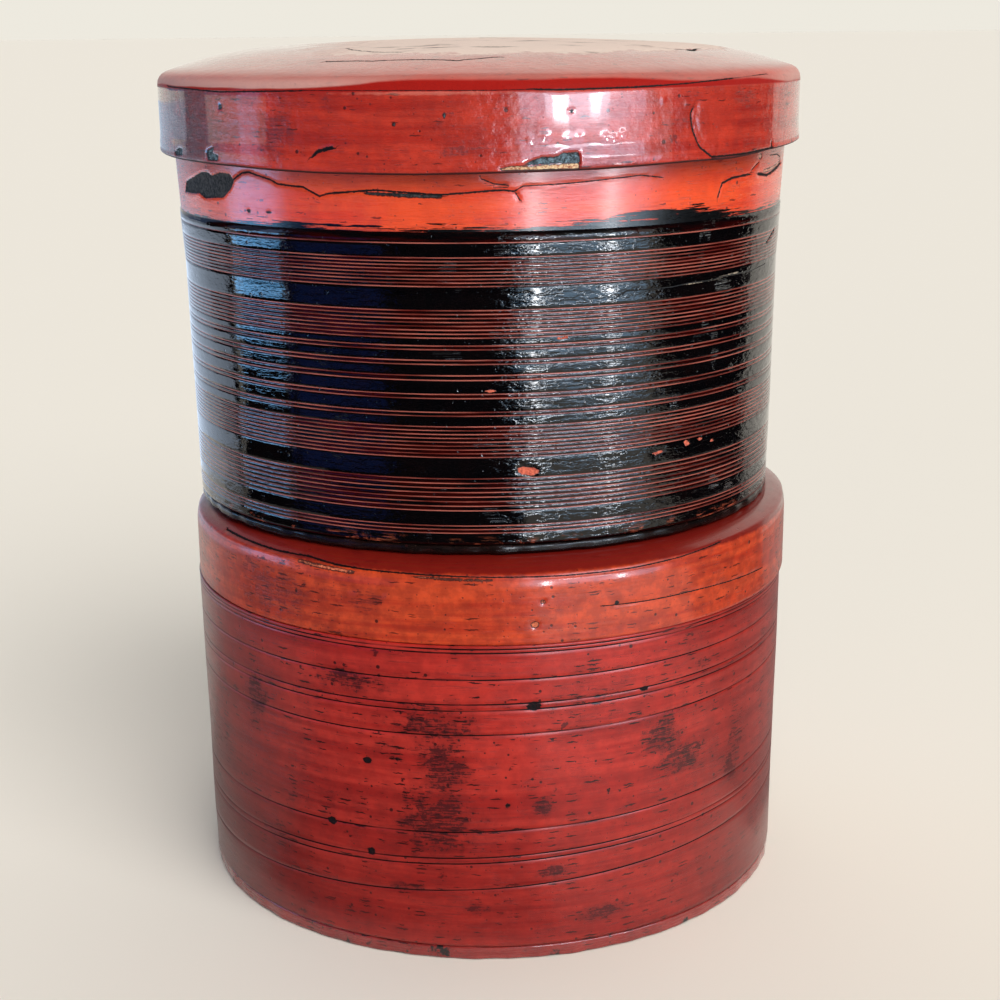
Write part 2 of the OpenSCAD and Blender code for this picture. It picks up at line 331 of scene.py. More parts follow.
class Weather:
    """Marks a turned coat: fields for its finish, and moves of its vertices."""

    def __init__(self, piece: Piece, axis: Point) -> None:
        """Reads the coat's vertices.

        Args:
            piece: The turned coat.
            axis: Its axis in plan.
        """
        self.mesh = piece.data
        count = len(self.mesh.vertices)
        flat = np.zeros(count * 3)
        self.mesh.vertices.foreach_get("co", flat)
        self.place = flat.reshape(-1, 3) / MM
        self.mesh.vertices.foreach_get("normal", flat)
        self.normal = flat.reshape(-1, 3).copy()
        east, south = self.place[:, 0] - axis[0], axis[1] - self.place[:, 1]
        self.angle = np.arctan2(east, south)
        self.radius = np.hypot(east, south)
        self.wall = float(self.radius.max())
        self.plan = np.stack([east, -south], 1)
        self.outside = (self.normal[:, 0] * east - self.normal[:, 1] * south) > FACING * self.radius
        self.push = np.zeros(count)
        self.fields = {
            "crack_side": np.full(count, FAR),
            "crack_far": np.full(count, FAR),
            Ground.PUTTY.value: np.full(count, FAR),
            Ground.UNDER.value: np.full(count, FAR),
        }

    def flat_place(self, face: Face) -> np.ndarray:
        """Every vertex on the unrolled wall or in plan."""
        unrolled = np.stack([self.angle * self.wall, self.place[:, 2]], 1)
        return self.plan if face is Face.TOP else unrolled

    def flat_points(self, points: Iterable[Point], face: Face) -> np.ndarray:
        """A mark's points on the unrolled wall or in plan.

        Args:
            points: The mark's points.
            face: Which of the two.

        Returns:
            One row for each point.
        """
        if face is Face.TOP:
            turned = [(math.radians(a), r) for a, r in points]
            return np.array([(r * math.sin(a), -r * math.cos(a)) for a, r in turned])
        return np.array([(math.radians(a) * self.wall, z) for a, z in points])

    @staticmethod
    def nearest(places: np.ndarray, points: np.ndarray) -> tuple[np.ndarray, np.ndarray]:
        """Distance from places to a chain of points, and the side of the chain that they lie on.

        Args:
            places: Places in the plane.
            points: The chain's points.

        Returns:
            The distances, and 1 or -1 for the side.
        """
        best = np.full(len(places), FAR)
        side = np.ones(len(places))
        for a, b in zip(points, points[1:]):
            along, off = b - a, places - a
            share = np.clip((off @ along) / (along @ along), 0, 1)
            gap = np.linalg.norm(off - share[:, None] * along, axis=1)
            closer = gap < best
            best[closer] = gap[closer]
            cross = along[0] * off[:, 1] - along[1] * off[:, 0]
            side[closer] = np.where(cross[closer] < 0, -1, 1)
        return best, side

    @staticmethod
    def inside(places: np.ndarray, points: np.ndarray) -> np.ndarray:
        """Whether places lie inside a closed outline.

        Args:
            places: Places in the plane.
            points: The outline's corners.

        Returns:
            True for each place inside.
        """
        within = np.zeros(len(places), bool)
        for a, b in zip(points, np.roll(points, -1, 0)):
            spans = (a[1] > places[:, 1]) != (b[1] > places[:, 1])
            rise = b[1] - a[1] if b[1] != a[1] else 1.0
            cut = a[0] + (places[:, 1] - a[1]) * (b[0] - a[0]) / rise
            within ^= spans & (places[:, 0] < cut)
        return within

    def ripple(self, depth: float, runs: Waves) -> None:
        """Presses slow hand-made waves into the coat, inwards only.

        Args:
            depth: Depth of all waves together.
            runs: For each wave its count round the axis, its length upwards and its phase.
        """
        waves = [np.sin(n * self.angle + self.place[:, 2] * math.tau / run + turn) for n, run, turn in runs]
        self.push -= np.where(self.outside, depth * (1 + sum(waves) / len(waves)) / 2, 0)

    def mark(self, marks: Iterable[Mark]) -> None:
        """Adds marks to the fields and to the moves.

        Args:
            marks: The marks.
        """
        for mark in marks:
            if isinstance(mark, Crack):
                self._crack(mark)
            elif isinstance(mark, Chip):
                self._chip(mark)
            else:
                self._blister(mark)

    def _crack(self, crack: Crack) -> None:
        """Opens a crack and lifts its lips.

        Args:
            crack: The crack.
        """
        points = self.flat_points(crack.points, crack.face)
        gap, side = self.nearest(self.flat_place(crack.face), points)
        gap = np.where(self.outside, gap, FAR)
        shown = gap * (DRAWN_CRACK / crack.width)
        closer = shown < self.fields["crack_far"]
        self.fields["crack_far"][closer] = shown[closer]
        self.fields["crack_side"][closer] = (shown * side)[closer]
        self.push -= crack.depth * np.clip(1 - gap / (crack.width * CRACK_SLOPE), 0, 1)
        self.push += crack.lift * np.exp(-((gap - LIP) ** 2)) * (side > 0)

    def _chip(self, chip: Chip) -> None:
        """Sinks a chip to its ground.

        Args:
            chip: The chip.
        """
        points = self.flat_points(chip.points, Face.WALL)
        places = self.flat_place(Face.WALL)
        gap, _ = self.nearest(places, np.vstack([points, points[:1]]))
        signed = np.where(self.inside(places, points), -gap, gap)
        signed = np.where(self.outside, signed, FAR)
        field_name = chip.ground.value
        self.fields[field_name] = np.minimum(self.fields[field_name], signed)
        self.push -= chip.depth * np.clip(0.5 - signed / CHIP_SLOPE, 0, 1)

    def _blister(self, blister: Blister) -> None:
        """Raises or sinks a small round place.

        Args:
            blister: The blister.
        """
        middle = self.flat_points([(blister.angle, blister.height)], Face.WALL)[0]
        gap = np.linalg.norm(self.flat_place(Face.WALL) - middle, axis=1)
        rise = blister.rise * np.exp(-((gap / blister.radius) ** 2))
        self.push += np.where(self.outside, rise, 0)

    def rows_at(self, name: str, heights: Sequence[float], within: Sequence[Point] = ()) -> None:
        """Adds a field that is 1 on the rows at some heights or within some spans, and 0 elsewhere.

        Args:
            name: The field's name.
            heights: Heights of single rows.
            within: Lowest and highest height of whole spans.
        """
        level = self.place[:, 2]
        hit = np.zeros(len(level), bool)
        for height in heights:
            hit |= np.abs(level - height) < ROW_NEAR
        for low, high in within:
            hit |= (level > low) & (level < high)
        self.fields[name] = np.where(hit & self.outside, 1.0, 0.0)

    def above(self, name: str, edge: Sequence[Point]) -> None:
        """Adds a field of the height above an edge that runs through angles and heights."""
        angles, heights = zip(*edge)
        self.fields[name] = self.place[:, 2] - np.interp(np.degrees(self.angle), angles, heights)

    def lift_rim(self, lifts: Sequence[Point], inner: float, outer: float) -> None:
        """Warps a rim upwards, through angles and lifts.

        Args:
            lifts: Angle and lift of each point of the warp.
            inner: Radius where the warp begins.
            outer: Radius where it is full.
        """
        angles, heights = zip(*lifts)
        lift = np.interp(np.degrees(self.angle), angles, heights)
        share = np.clip((self.radius - inner) / (outer - inner), 0, 1)
        low, high = self.place[:, 2].min(), self.place[:, 2].max()
        self.place[:, 2] += lift * share * np.clip((self.place[:, 2] - low) / (high - low), 0, 1)

    def warp_edge(self, drops: Sequence[Point], limit: float) -> None:
        """Warps a lower edge, through angles and rises.

        Args:
            drops: Angle and rise of each point of the warp.
            limit: Height above which the coat stays as it is.
        """
        angles, rises = zip(*drops)
        rise = np.interp(np.degrees(self.angle), angles, rises)
        low = self.place[:, 2].min()
        self.place[:, 2] += rise * np.clip((limit - self.place[:, 2]) / (limit - low), 0, 1)

    def lean(self, slopes: Sequence[Point]) -> None:
        """Tilts the rows from left to right, through heights and slopes.

        Args:
            slopes: Height and slope of each point.
        """
        heights, angles = zip(*slopes)
        slope = np.tan(np.radians(np.interp(self.place[:, 2], heights, angles)))
        self.place[:, 2] += slope * self.plan[:, 0]

    def apply(self) -> None:
        """Writes the moves and the fields to the coat's mesh."""
        moved = (self.place + self.normal * self.push[:, None]) * MM
        self.mesh.vertices.foreach_set("co", moved.ravel())
        for name, values in self.fields.items():
            attribute = self.mesh.attributes.new(name, "FLOAT", "POINT")
            attribute.data.foreach_set("value", values.astype(np.float32))
        self.mesh.update()


# Shader nodes


class Sheet:
    """A node tree with short calls for the nodes that the finishes are wired from."""

    def __init__(self, tree: Tree) -> None:
        """Keeps the tree."""
        self.tree = tree

    def node(self, kind: str, **settings: object) -> bpy.types.Node:
        """Adds a node of a shader kind and sets its options.

        Args:
            kind: Its kind, without the word that starts every shader node's.
            settings: Options to set.

        Returns:
            The node.
        """
        made = self.tree.nodes.new(f"ShaderNode{kind}")
        for name, value in settings.items():
            setattr(made, name, value)
        return made

    def feed(self, socket: Socket, value: Feed) -> None:
        """Links a socket into an input, or sets the input's own value.

        Args:
            socket: The input.
            value: A socket or a plain value.
        """
        if isinstance(value, Socket):
            self.tree.links.new(value, socket)
        else:
            socket.default_value = value

    def fed(self, kind: str, values: Iterable[Feed], **settings: object) -> Socket:
        """Adds a node and feeds its inputs in order.

        Args:
            kind: Its kind.
            values: What its inputs get.
            settings: Options to set.

        Returns:
            Its first output.
        """
        made = self.node(kind, **settings)
        for socket, value in zip(made.inputs, values):
            self.feed(socket, value)
        return made.outputs[0]

    def math(self, operation: str, *values: Feed) -> Socket:
        """Works a value out of others."""
        return self.fed("Math", values, operation=operation)

    def vector(self, operation: str, *values: Feed) -> Socket:
        """Works a vector out of others."""
        return self.fed("VectorMath", values, operation=operation)

    def joined(self, x: Feed, y: Feed, z: Feed) -> Socket:
        """Joins three values into a vector."""
        return self.fed("CombineXYZ", (x, y, z))

    def add(self, *values: Feed) -> Feed:
        """Adds values up."""
        return reduce(partial(self.math, "ADD"), values)

    def times(self, *values: Feed) -> Feed:
        """Multiplies values."""
        return reduce(partial(self.math, "MULTIPLY"), values)

    def either(self, *masks: Feed) -> Feed:
        """The largest of some masks."""
        return reduce(partial(self.math, "MAXIMUM"), masks)

    def rest(self, mask: Feed) -> Socket:
        """What a mask leaves over."""
        return self.math("SUBTRACT", 1.0, mask)

    def centred(self, value: Feed) -> Socket:
        """A noise's value about zero."""
        return self.math("SUBTRACT", value, 0.5)

    def ramp(self, value: Feed, start: Feed, end: Feed, low: Feed = 0.0, high: Feed = 1.0) -> Socket:
        """Maps a value smoothly, from start and end to low and high."""
        return self.fed("MapRange", (value, start, end, low, high), interpolation_type="SMOOTHSTEP")

    def mix(self, share: Feed, first: Feed, second: Feed) -> Socket:
        """Mixes two colours.

        Args:
            share: Share of the second.
            first: The first colour.
            second: The second colour.

        Returns:
            The mixed colour.
        """
        made = self.node("Mix", data_type="RGBA")
        self.feed(made.inputs[0], share)
        self.feed(made.inputs[6], first)
        self.feed(made.inputs[7], second)
        return made.outputs[2]

    def noise(self, place: Feed, scale: Feed = 1.0, detail: float = 3.0, rough: float = 0.55) -> Socket:
        """Adds a noise and gives its value.

        Args:
            place: Where it is read.
            scale: Its scale.
            detail: Its detail.
            rough: Its roughness.

        Returns:
            Its value.
        """
        made = self.node("TexNoise")
        for name, value in (("Vector", place), ("Scale", scale), ("Detail", detail), ("Roughness", rough)):
            self.feed(made.inputs[name], value)
        return made.outputs[0]

    def attribute(self, name: str) -> Socket:
        """Reads a value that the mesh carries."""
        return self.node("Attribute", attribute_name=name).outputs["Fac"]

    def use(self, effect: Tree, **inputs: Feed) -> Sockets:
        """Places a shared effect.

        Args:
            effect: The effect's node group.
            inputs: Values for its inputs, with _ for a space in their names.

        Returns:
            The group's outputs by name.
        """
        made = self.tree.nodes.new("ShaderNodeGroup")
        made.node_tree = effect
        for name, value in inputs.items():
            self.feed(made.inputs[name.replace("_", " ").capitalize()], value)
        return {socket.name: socket for socket in made.outputs}


Effect = tuple[Sheet, bpy.types.NodeOutputs, bpy.types.NodeInputs]


def effect(
    name: str, inputs: dict[str, float], outputs: Sequence[str], vector: Optional[str] = "Place"
) -> Effect:
    """Starts a shared shader effect as a node group.

    Args:
        name: The group's name.
        inputs: Number inputs with their defaults.
        outputs: Names of the outputs. One that is called Place is a vector.
        vector: Name of a vector input, or None.

    Returns:
        The group's sheet, its inputs as sockets to read, and its outputs as sockets to feed.
    """
    tree = bpy.data.node_groups.new(name, "ShaderNodeTree")
    if vector:
        tree.interface.new_socket(vector, in_out="INPUT", socket_type="NodeSocketVector")
    for label, default in inputs.items():
        socket = tree.interface.new_socket(label, in_out="INPUT", socket_type="NodeSocketFloat")
        socket.default_value = default
    for label in outputs:
        kind = "NodeSocketVector" if label == "Place" else "NodeSocketFloat"
        tree.interface.new_socket(label, in_out="OUTPUT", socket_type=kind)
    entry = tree.nodes.new("NodeGroupInput")
    leave = tree.nodes.new("NodeGroupOutput")
    return Sheet(tree), entry.outputs, leave.inputs


@cache
def turned_place() -> Tree:
    """Place on a turned piece: millimetres from its axis, angle from the front, radius and height.

    Returns:
        The effect's node group.
    """
    sheet, given, out = effect(
        "turned_place", {"Axis x": 0.0, "Axis y": 0.0}, ("Place", "Angle", "Radius", "Height"), None
    )
    here = sheet.node("TexCoord").outputs["Object"]
    split = sheet.node("SeparateXYZ")
    scaled = sheet.node("VectorMath", operation="SCALE")
    sheet.feed(scaled.inputs[0], here)
    sheet.feed(scaled.inputs["Scale"], 1 / MM)
    sheet.feed(split.inputs[0], scaled.outputs[0])
    x = sheet.math("SUBTRACT", split.outputs[0], given["Axis x"])
    y = sheet.math("SUBTRACT", split.outputs[1], given["Axis y"])
    sheet.feed(out["Place"], sheet.joined(x, y, split.outputs[2]))
    south = sheet.times(y, -1.0)
    sheet.feed(out["Angle"], sheet.times(sheet.math("ARCTAN2", x, south), math.degrees(1)))
    squares = sheet.add(sheet.times(x, x), sheet.times(y, y))
    sheet.feed(out["Radius"], sheet.math("SQRT", squares))
    sheet.feed(out["Height"], split.outputs[2])
    return sheet.tree


@cache
def turning_streaks() -> Tree:
    """Streaks that run round the piece, as the lathe and the brush leave them.

    Returns:
        The effect's node group.
    """
    sheet, given, out = effect("turning_streaks", {"Run": 40.0, "Pitch": 2.0}, ("Streak",))
    round_share = sheet.math("DIVIDE", 1.0, given["Run"])
    upward_share = sheet.math("DIVIDE", 1.0, given["Pitch"])
    scale = sheet.joined(round_share, round_share, upward_share)
    stretched = sheet.vector("MULTIPLY", given["Place"], scale)
    sheet.feed(out["Streak"], sheet.noise(stretched, 1.0, 3.0, 0.6))
    return sheet.tree


@cache
def blotches() -> Tree:
    """Ragged clouds of a size, over a share of the surface.

    Returns:
        The effect's node group.
    """
    sheet, given, out = effect("blotches", {"Size": 10.0, "Cover": 0.4, "Edge": 0.08, "Seed": 0.0}, ("Mask",))
    place = sheet.vector("ADD", given["Place"], sheet.joined(given["Seed"], 0.0, given["Seed"]))
    cloud = sheet.noise(place, sheet.math("DIVIDE", 1.0, given["Size"]), 6.0, 0.62)
    middle = sheet.math("SUBTRACT", 0.75, sheet.times(given["Cover"], 0.5))
    low = sheet.math("SUBTRACT", middle, given["Edge"])
    sheet.feed(out["Mask"], sheet.ramp(cloud, low, sheet.add(middle, given["Edge"])))
    return sheet.tree


@cache
def specks() -> Tree:
    """Scattered small pits and spots, a spacing apart.

    Returns:
        The effect's node group.
    """
    sheet, given, out = effect(
        "specks", {"Spacing": 3.0, "Size": 0.15, "Share": 0.4, "Flat": 1.0, "Ragged": 0.0}, ("Mask",)
    )
    squash = sheet.joined(1.0, 1.0, given["Flat"])
    shake = sheet.node("TexNoise")
    sheet.feed(shake.inputs["Vector"], given["Place"])
    sheet.feed(shake.inputs["Scale"], 0.9)
    off = sheet.node("VectorMath", operation="SCALE")
    sheet.feed(off.inputs[0], sheet.vector("SUBTRACT", shake.outputs["Color"], (0.5, 0.5, 0.5)))
    sheet.feed(off.inputs["Scale"], given["Ragged"])
    place = sheet.vector("ADD", given["Place"], off.outputs[0])
    cells = sheet.node("TexVoronoi")
    sheet.feed(cells.inputs["Vector"], sheet.vector("MULTIPLY", place, squash))
    sheet.feed(cells.inputs["Scale"], sheet.math("DIVIDE", 1.0, given["Spacing"]))
    chance = sheet.node("SeparateColor")
    sheet.feed(chance.inputs[0], cells.outputs["Color"])
    reach = sheet.times(given["Size"], sheet.add(0.4, chance.outputs[1]))
    dot = sheet.ramp(cells.outputs["Distance"], reach, sheet.times(reach, 0.6))
    sheet.feed(out["Mask"], sheet.times(dot, sheet.math("LESS_THAN", chance.outputs[0], given["Share"])))
    return sheet.tree


@cache
def scratches() -> Tree:
    """Broken hair-thin lines that run round the piece.

    Returns:
        The effect's node group.
    """
    sheet, given, out = effect("scratches", {"Run": 30.0, "Pitch": 0.5, "Share": 0.3}, ("Mask",))
    drawn = sheet.use(turning_streaks(), place=given["Place"], run=given["Run"], pitch=given["Pitch"])
    thin = sheet.ramp(sheet.math("ABSOLUTE", sheet.centred(drawn["Streak"])), 0.018, 0.0)
    where = sheet.noise(given["Place"], 0.11, 3.0, 0.6)
    limit = sheet.math("SUBTRACT", 0.68, sheet.times(given["Share"], 0.36))
    sheet.feed(out["Mask"], sheet.times(thin, sheet.ramp(where, limit, sheet.add(limit, 0.06))))
    return sheet.tree


@cache
def cloud_patch() -> Tree:
    """A ragged patch round one place of a wall.

    Returns:
        The effect's node group.
    """
    sheet, given, out = effect(
        "cloud_patch",
        {
            "Angle": 0.0, "Height": 0.0, "Ragged": 0.5,
            "At angle": 0.0, "At height": 0.0, "Half angle": 1.0, "Half height": 1.0,
        },
        ("Mask",),
        None,
    )
    squares = []
    for label in ("angle", "height"):
        away = sheet.math("SUBTRACT", given[label.capitalize()], given[f"At {label}"])
        share = sheet.math("DIVIDE", away, given[f"Half {label}"])
        squares.append(sheet.times(share, share))
    reach = sheet.math("SQRT", sheet.add(*squares))
    ragged = sheet.centred(given["Ragged"])
    sheet.feed(out["Mask"], sheet.ramp(sheet.add(reach, sheet.times(ragged, 2.1)), 1.15, 0.35))
    return sheet.tree


@cache
def damage() -> Tree:
    """Cracks and chips from the fields that a coat's mesh carries, with ragged edges.

    Returns:
        The effect's node group.
    """
    sheet, given, out = effect("damage", {"Ragged": 0.34}, ("Crack", "Putty", "Under", "Rim"))
    fine = sheet.centred(sheet.noise(given["Place"], 1.6, 4.0, 0.65))
    ragged = sheet.times(fine, given["Ragged"], 2.0)
    line = sheet.add(sheet.math("ABSOLUTE", sheet.attribute("crack_side")), ragged)
    near = sheet.ramp(sheet.attribute("crack_far"), 1.6, 1.0)
    sheet.feed(out["Crack"], sheet.times(sheet.ramp(line, 0.34, 0.18), near))
    putty = sheet.add(sheet.attribute(Ground.PUTTY.value), ragged)
    under = sheet.add(sheet.attribute(Ground.UNDER.value), ragged)
    sheet.feed(out["Putty"], sheet.ramp(putty, 0.06, -0.06))
    sheet.feed(out["Under"], sheet.ramp(under, 0.06, -0.06))
    nearest = sheet.math("ABSOLUTE", sheet.math("MINIMUM", putty, under))
    sheet.feed(out["Rim"], sheet.ramp(nearest, 0.2, 0.05))
    return sheet.tree


# Finishes


class Surface(Sheet):
    """A material's sheet that knows the place on its turned piece."""

    def __init__(self, tree: Tree, axis: Point) -> None:
        """Wires the place on the piece.

        Args:
            tree: The material's node tree.
            axis: The piece's axis in plan.
        """
        super().__init__(tree)
        where = self.use(turned_place(), axis_x=axis[0], axis_y=axis[1])
        self.place, self.angle = where["Place"], where["Angle"]
        self.radius, self.height = where["Radius"], where["Height"]

    def streaks(self, run: float, pitch: float) -> Socket:
        """Streaks round the piece, of a run and a pitch."""
        return self.use(turning_streaks(), place=self.place, run=run, pitch=pitch)["Streak"]

    def blotched(self, **settings: float) -> Socket:
        """Mask of ragged clouds."""
        return self.use(blotches(), place=self.place, **settings)["Mask"]

    def specked(self, **settings: Feed) -> Socket:
        """Mask of scattered spots."""
        return self.use(specks(), place=self.place, **settings)["Mask"]


@dataclass
class Skin:
    """Sockets that a finish has wired so far: colour, roughness, coat and height of the bump."""

    colour: Feed
    rough: Feed
    coat: Feed
    height: Feed


@dataclass(frozen=True)
class Finish:
    """A finish of one kind of surface. Its paint method wires what changes over the surface."""

    name: str
    axis: Point = (0.0, 0.0)
    bump: float = 0.25
    coat_rough: float = 0.1
    specular: float = 0.5

    def material(self) -> bpy.types.Material:
        """Builds the material.

        Returns:
            The finished material.
        """
        made = bpy.data.materials.new(self.name)
        made.use_nodes = True
        sheet = Surface(made.node_tree, self.axis)
        shader = made.node_tree.nodes["Principled BSDF"]
        skin = self.paint(sheet)
        sheet.feed(shader.inputs["Base Color"], skin.colour)
        sheet.feed(shader.inputs["Roughness"], skin.rough)
        sheet.feed(shader.inputs["Coat Weight"], skin.coat)
        shader.inputs["Coat Roughness"].default_value = self.coat_rough
        shader.inputs["Specular IOR Level"].default_value = self.specular
        bump = sheet.node("Bump")
        bump.inputs["Strength"].default_value = self.bump
        bump.inputs["Distance"].default_value = MM
        sheet.feed(bump.inputs["Height"], skin.height)
        sheet.feed(shader.inputs["Normal"], bump.outputs[0])
        return made

    def paint(self, sheet: Surface) -> Skin:
        """Wires what changes over the surface."""
        raise NotImplementedError


@dataclass(frozen=True)
class AgedLacquer(Finish):
    """Old turned lacquer: streaked colour, painted pools of light, stains, pits, scratches, cracks and chips.
    """

    base: Colour = tint(160, 40, 30)
    bright: Colour = tint(185, 55, 35)
    stain: Colour = tint(95, 28, 30)
    pit: Colour = tint(45, 18, 18)
    under: Colour = tint(205, 90, 55)
    under_dark: Colour = tint(150, 56, 34)
    putty: Colour = tint(48, 48, 50)
    putty_dark: Colour = tint(18, 18, 20)
    rim: Colour = tint(10, 8, 9)
    crack: Colour = tint(8, 6, 7)
    streak_run: float = 45.0
    streak_pitch: float = 2.4
    stain_size: float = 10.0
    stain_cover: float = 0.35
    stain_depth: float = 0.6
    speck_share: float = 0.35
    scratch_share: float = 0.3
    scratch_depth: float = 0.6
    rough_low: float = 0.22
    rough_high: float = 0.5
    coat: float = 0.5
    ripple: float = 0.5
    grain: float = 0.1
    grit_cover: float = 0.45
    tick_share: float = 0.1
    tick_gather: float = 0.6
    tick_depth: float = 0.8
    blot_share: float = 0.15
    mottle: float = 0.3
    rim_depth: float = 0.85
    bare_rough: float = 0.75
    clouds: tuple[Cloud, ...] = ()
    # Painted pools of light: patches turned towards the bright tone where more light falls
    lit_patches: tuple[Cloud, ...] = ()

    def patches(self, sheet: Surface, clouds: Iterable[Cloud]) -> Feed:
        """The largest of some patches, as one mask.

        Args:
            sheet: The material's surface.
            clouds: The patches.

        Returns:
            The mask, or 0 for no patches.
        """
        mask: Feed = 0.0
        ragged = sheet.noise(sheet.place, 0.26, 5.0, 0.68)
        for cloud in clouds:
            patch = sheet.use(
                cloud_patch(), ragged=ragged, angle=sheet.angle, height=sheet.height,
                at_angle=cloud.angle, at_height=cloud.height,
                half_angle=cloud.half_angle, half_height=cloud.half_height,
            )["Mask"]
            mask = patch if mask == 0.0 else sheet.either(mask, patch)
        return mask

    def paint(self, sheet: Surface) -> Skin:
        """Layers the lacquer, its age and its damage."""
        skin = self.detail(sheet, self.lacquer(sheet))
        return self.broken(sheet, skin)

    def lacquer(self, sheet: Surface) -> Skin:
        """Wires the coat itself: streaks, painted pools of light, stains, patches, pits and scratches.

        Args:
            sheet: The material's surface.

        Returns:
            The sound coat's skin.
        """
        broad = sheet.streaks(self.streak_run, self.streak_pitch)
        fine = sheet.streaks(4.5, 0.42)
        colour = sheet.mix(sheet.ramp(broad, 0.34, 0.66), self.base, self.bright)
        # Painted light: the lit patches lighten the colour towards the bright tone
        glow = self.patches(sheet, self.lit_patches)
        if glow != 0.0:
            colour = sheet.mix(sheet.times(glow, 0.75), colour, self.bright)
        cloud = sheet.blotched(size=self.stain_size, cover=self.stain_cover, edge=0.16)
        patch = self.patches(sheet, self.clouds)
        if patch != 0.0:
            cloud = sheet.either(sheet.times(cloud, 0.8), patch)
        colour = sheet.mix(sheet.times(cloud, self.stain_depth, 0.5), colour, self.stain)
        grit = sheet.noise(sheet.place, 1.1, 5.0, 0.65)
        rough_edge = sheet.add(sheet.times(fine, 1.3), sheet.times(grit, 1.1), -1.2)
        stain = sheet.ramp(sheet.add(sheet.times(cloud, self.grit_cover), rough_edge), 0.4, 0.58)
        colour = sheet.mix(sheet.times(stain, self.stain_depth), colour, self.stain)
        dirt = sheet.blotched(size=3.0, cover=0.5, edge=0.14, seed=23.0)
        colour = sheet.mix(sheet.times(dirt, self.mottle), colour, self.stain)
        gathered = sheet.add(sheet.times(cloud, self.tick_gather), self.tick_share)
        ticks = sheet.specked(spacing=4.4, size=0.38, share=gathered, flat=8.0, ragged=0.7)
        colour = sheet.mix(sheet.times(ticks, self.tick_depth), colour, self.pit)
        blots = sheet.specked(spacing=13.0, size=0.11, share=self.blot_share, flat=1.7, ragged=3.0)
        colour = sheet.mix(sheet.times(blots, 0.8), colour, self.stain)
        pits = sheet.specked(spacing=2.6, size=0.16, share=self.speck_share)
        dust = sheet.specked(spacing=0.9, size=0.22, share=self.speck_share * 0.5)
        pits = sheet.either(pits, sheet.times(dust, 0.7))
        colour = sheet.mix(sheet.times(pits, 0.85), colour, self.pit)
        hair = sheet.use(scratches(), place=sheet.place, share=self.scratch_share)["Mask"]
        colour = sheet.mix(sheet.times(hair, self.scratch_depth), colour, self.pit)
        wave = sheet.streaks(26.0, 5.0)
        matt = sheet.add(sheet.times(fine, 0.6), sheet.times(stain, 0.4))
        rough = sheet.ramp(matt, 0.15, 0.75, self.rough_low, self.rough_high)
        height = sheet.add(
            sheet.times(wave, self.ripple),
            sheet.times(fine, self.grain),
            sheet.times(stain, -0.1),
            sheet.times(pits, -0.3),
            sheet.times(hair, -0.15),
        )
        return Skin(colour, rough, self.coat, height)

    def detail(self, sheet: Surface, skin: Skin) -> Skin:
        """Adds what only one coat has."""
        return skin

    def broken(self, sheet: Surface, skin: Skin) -> Skin:
        """Adds cracks and chips over everything.

        Args:
            sheet: The material's surface.
            skin: What is wired so far.

        Returns:
            The damaged skin.
        """
        hurt = sheet.use(damage(), place=sheet.place)
        gravel = sheet.noise(sheet.place, 1.4, 6.0, 0.7)
        putty = sheet.mix(sheet.ramp(gravel, 0.35, 0.7), self.putty_dark, self.putty)
        under = sheet.mix(sheet.ramp(gravel, 0.35, 0.6), self.under_dark, self.under)
        colour = sheet.mix(hurt["Under"], skin.colour, under)
        colour = sheet.mix(hurt["Putty"], colour, putty)
        bare = sheet.either(hurt["Putty"], hurt["Under"])
        colour = sheet.mix(sheet.times(hurt["Rim"], self.rim_depth), colour, self.rim)
        colour = sheet.mix(hurt["Crack"], colour, self.crack)
        open_place = sheet.either(bare, hurt["Crack"])
        sound_rough = sheet.times(skin.rough, sheet.rest(open_place))
        rough = sheet.add(sound_rough, sheet.times(open_place, self.bare_rough))
        coat = sheet.times(sheet.rest(open_place), skin.coat)
        height = sheet.add(
            skin.height,
            sheet.times(hurt["Crack"], -0.6),
            sheet.times(bare, sheet.add(-0.5, sheet.times(gravel, 1.2))),
        )
        return Skin(colour, rough, coat, height)


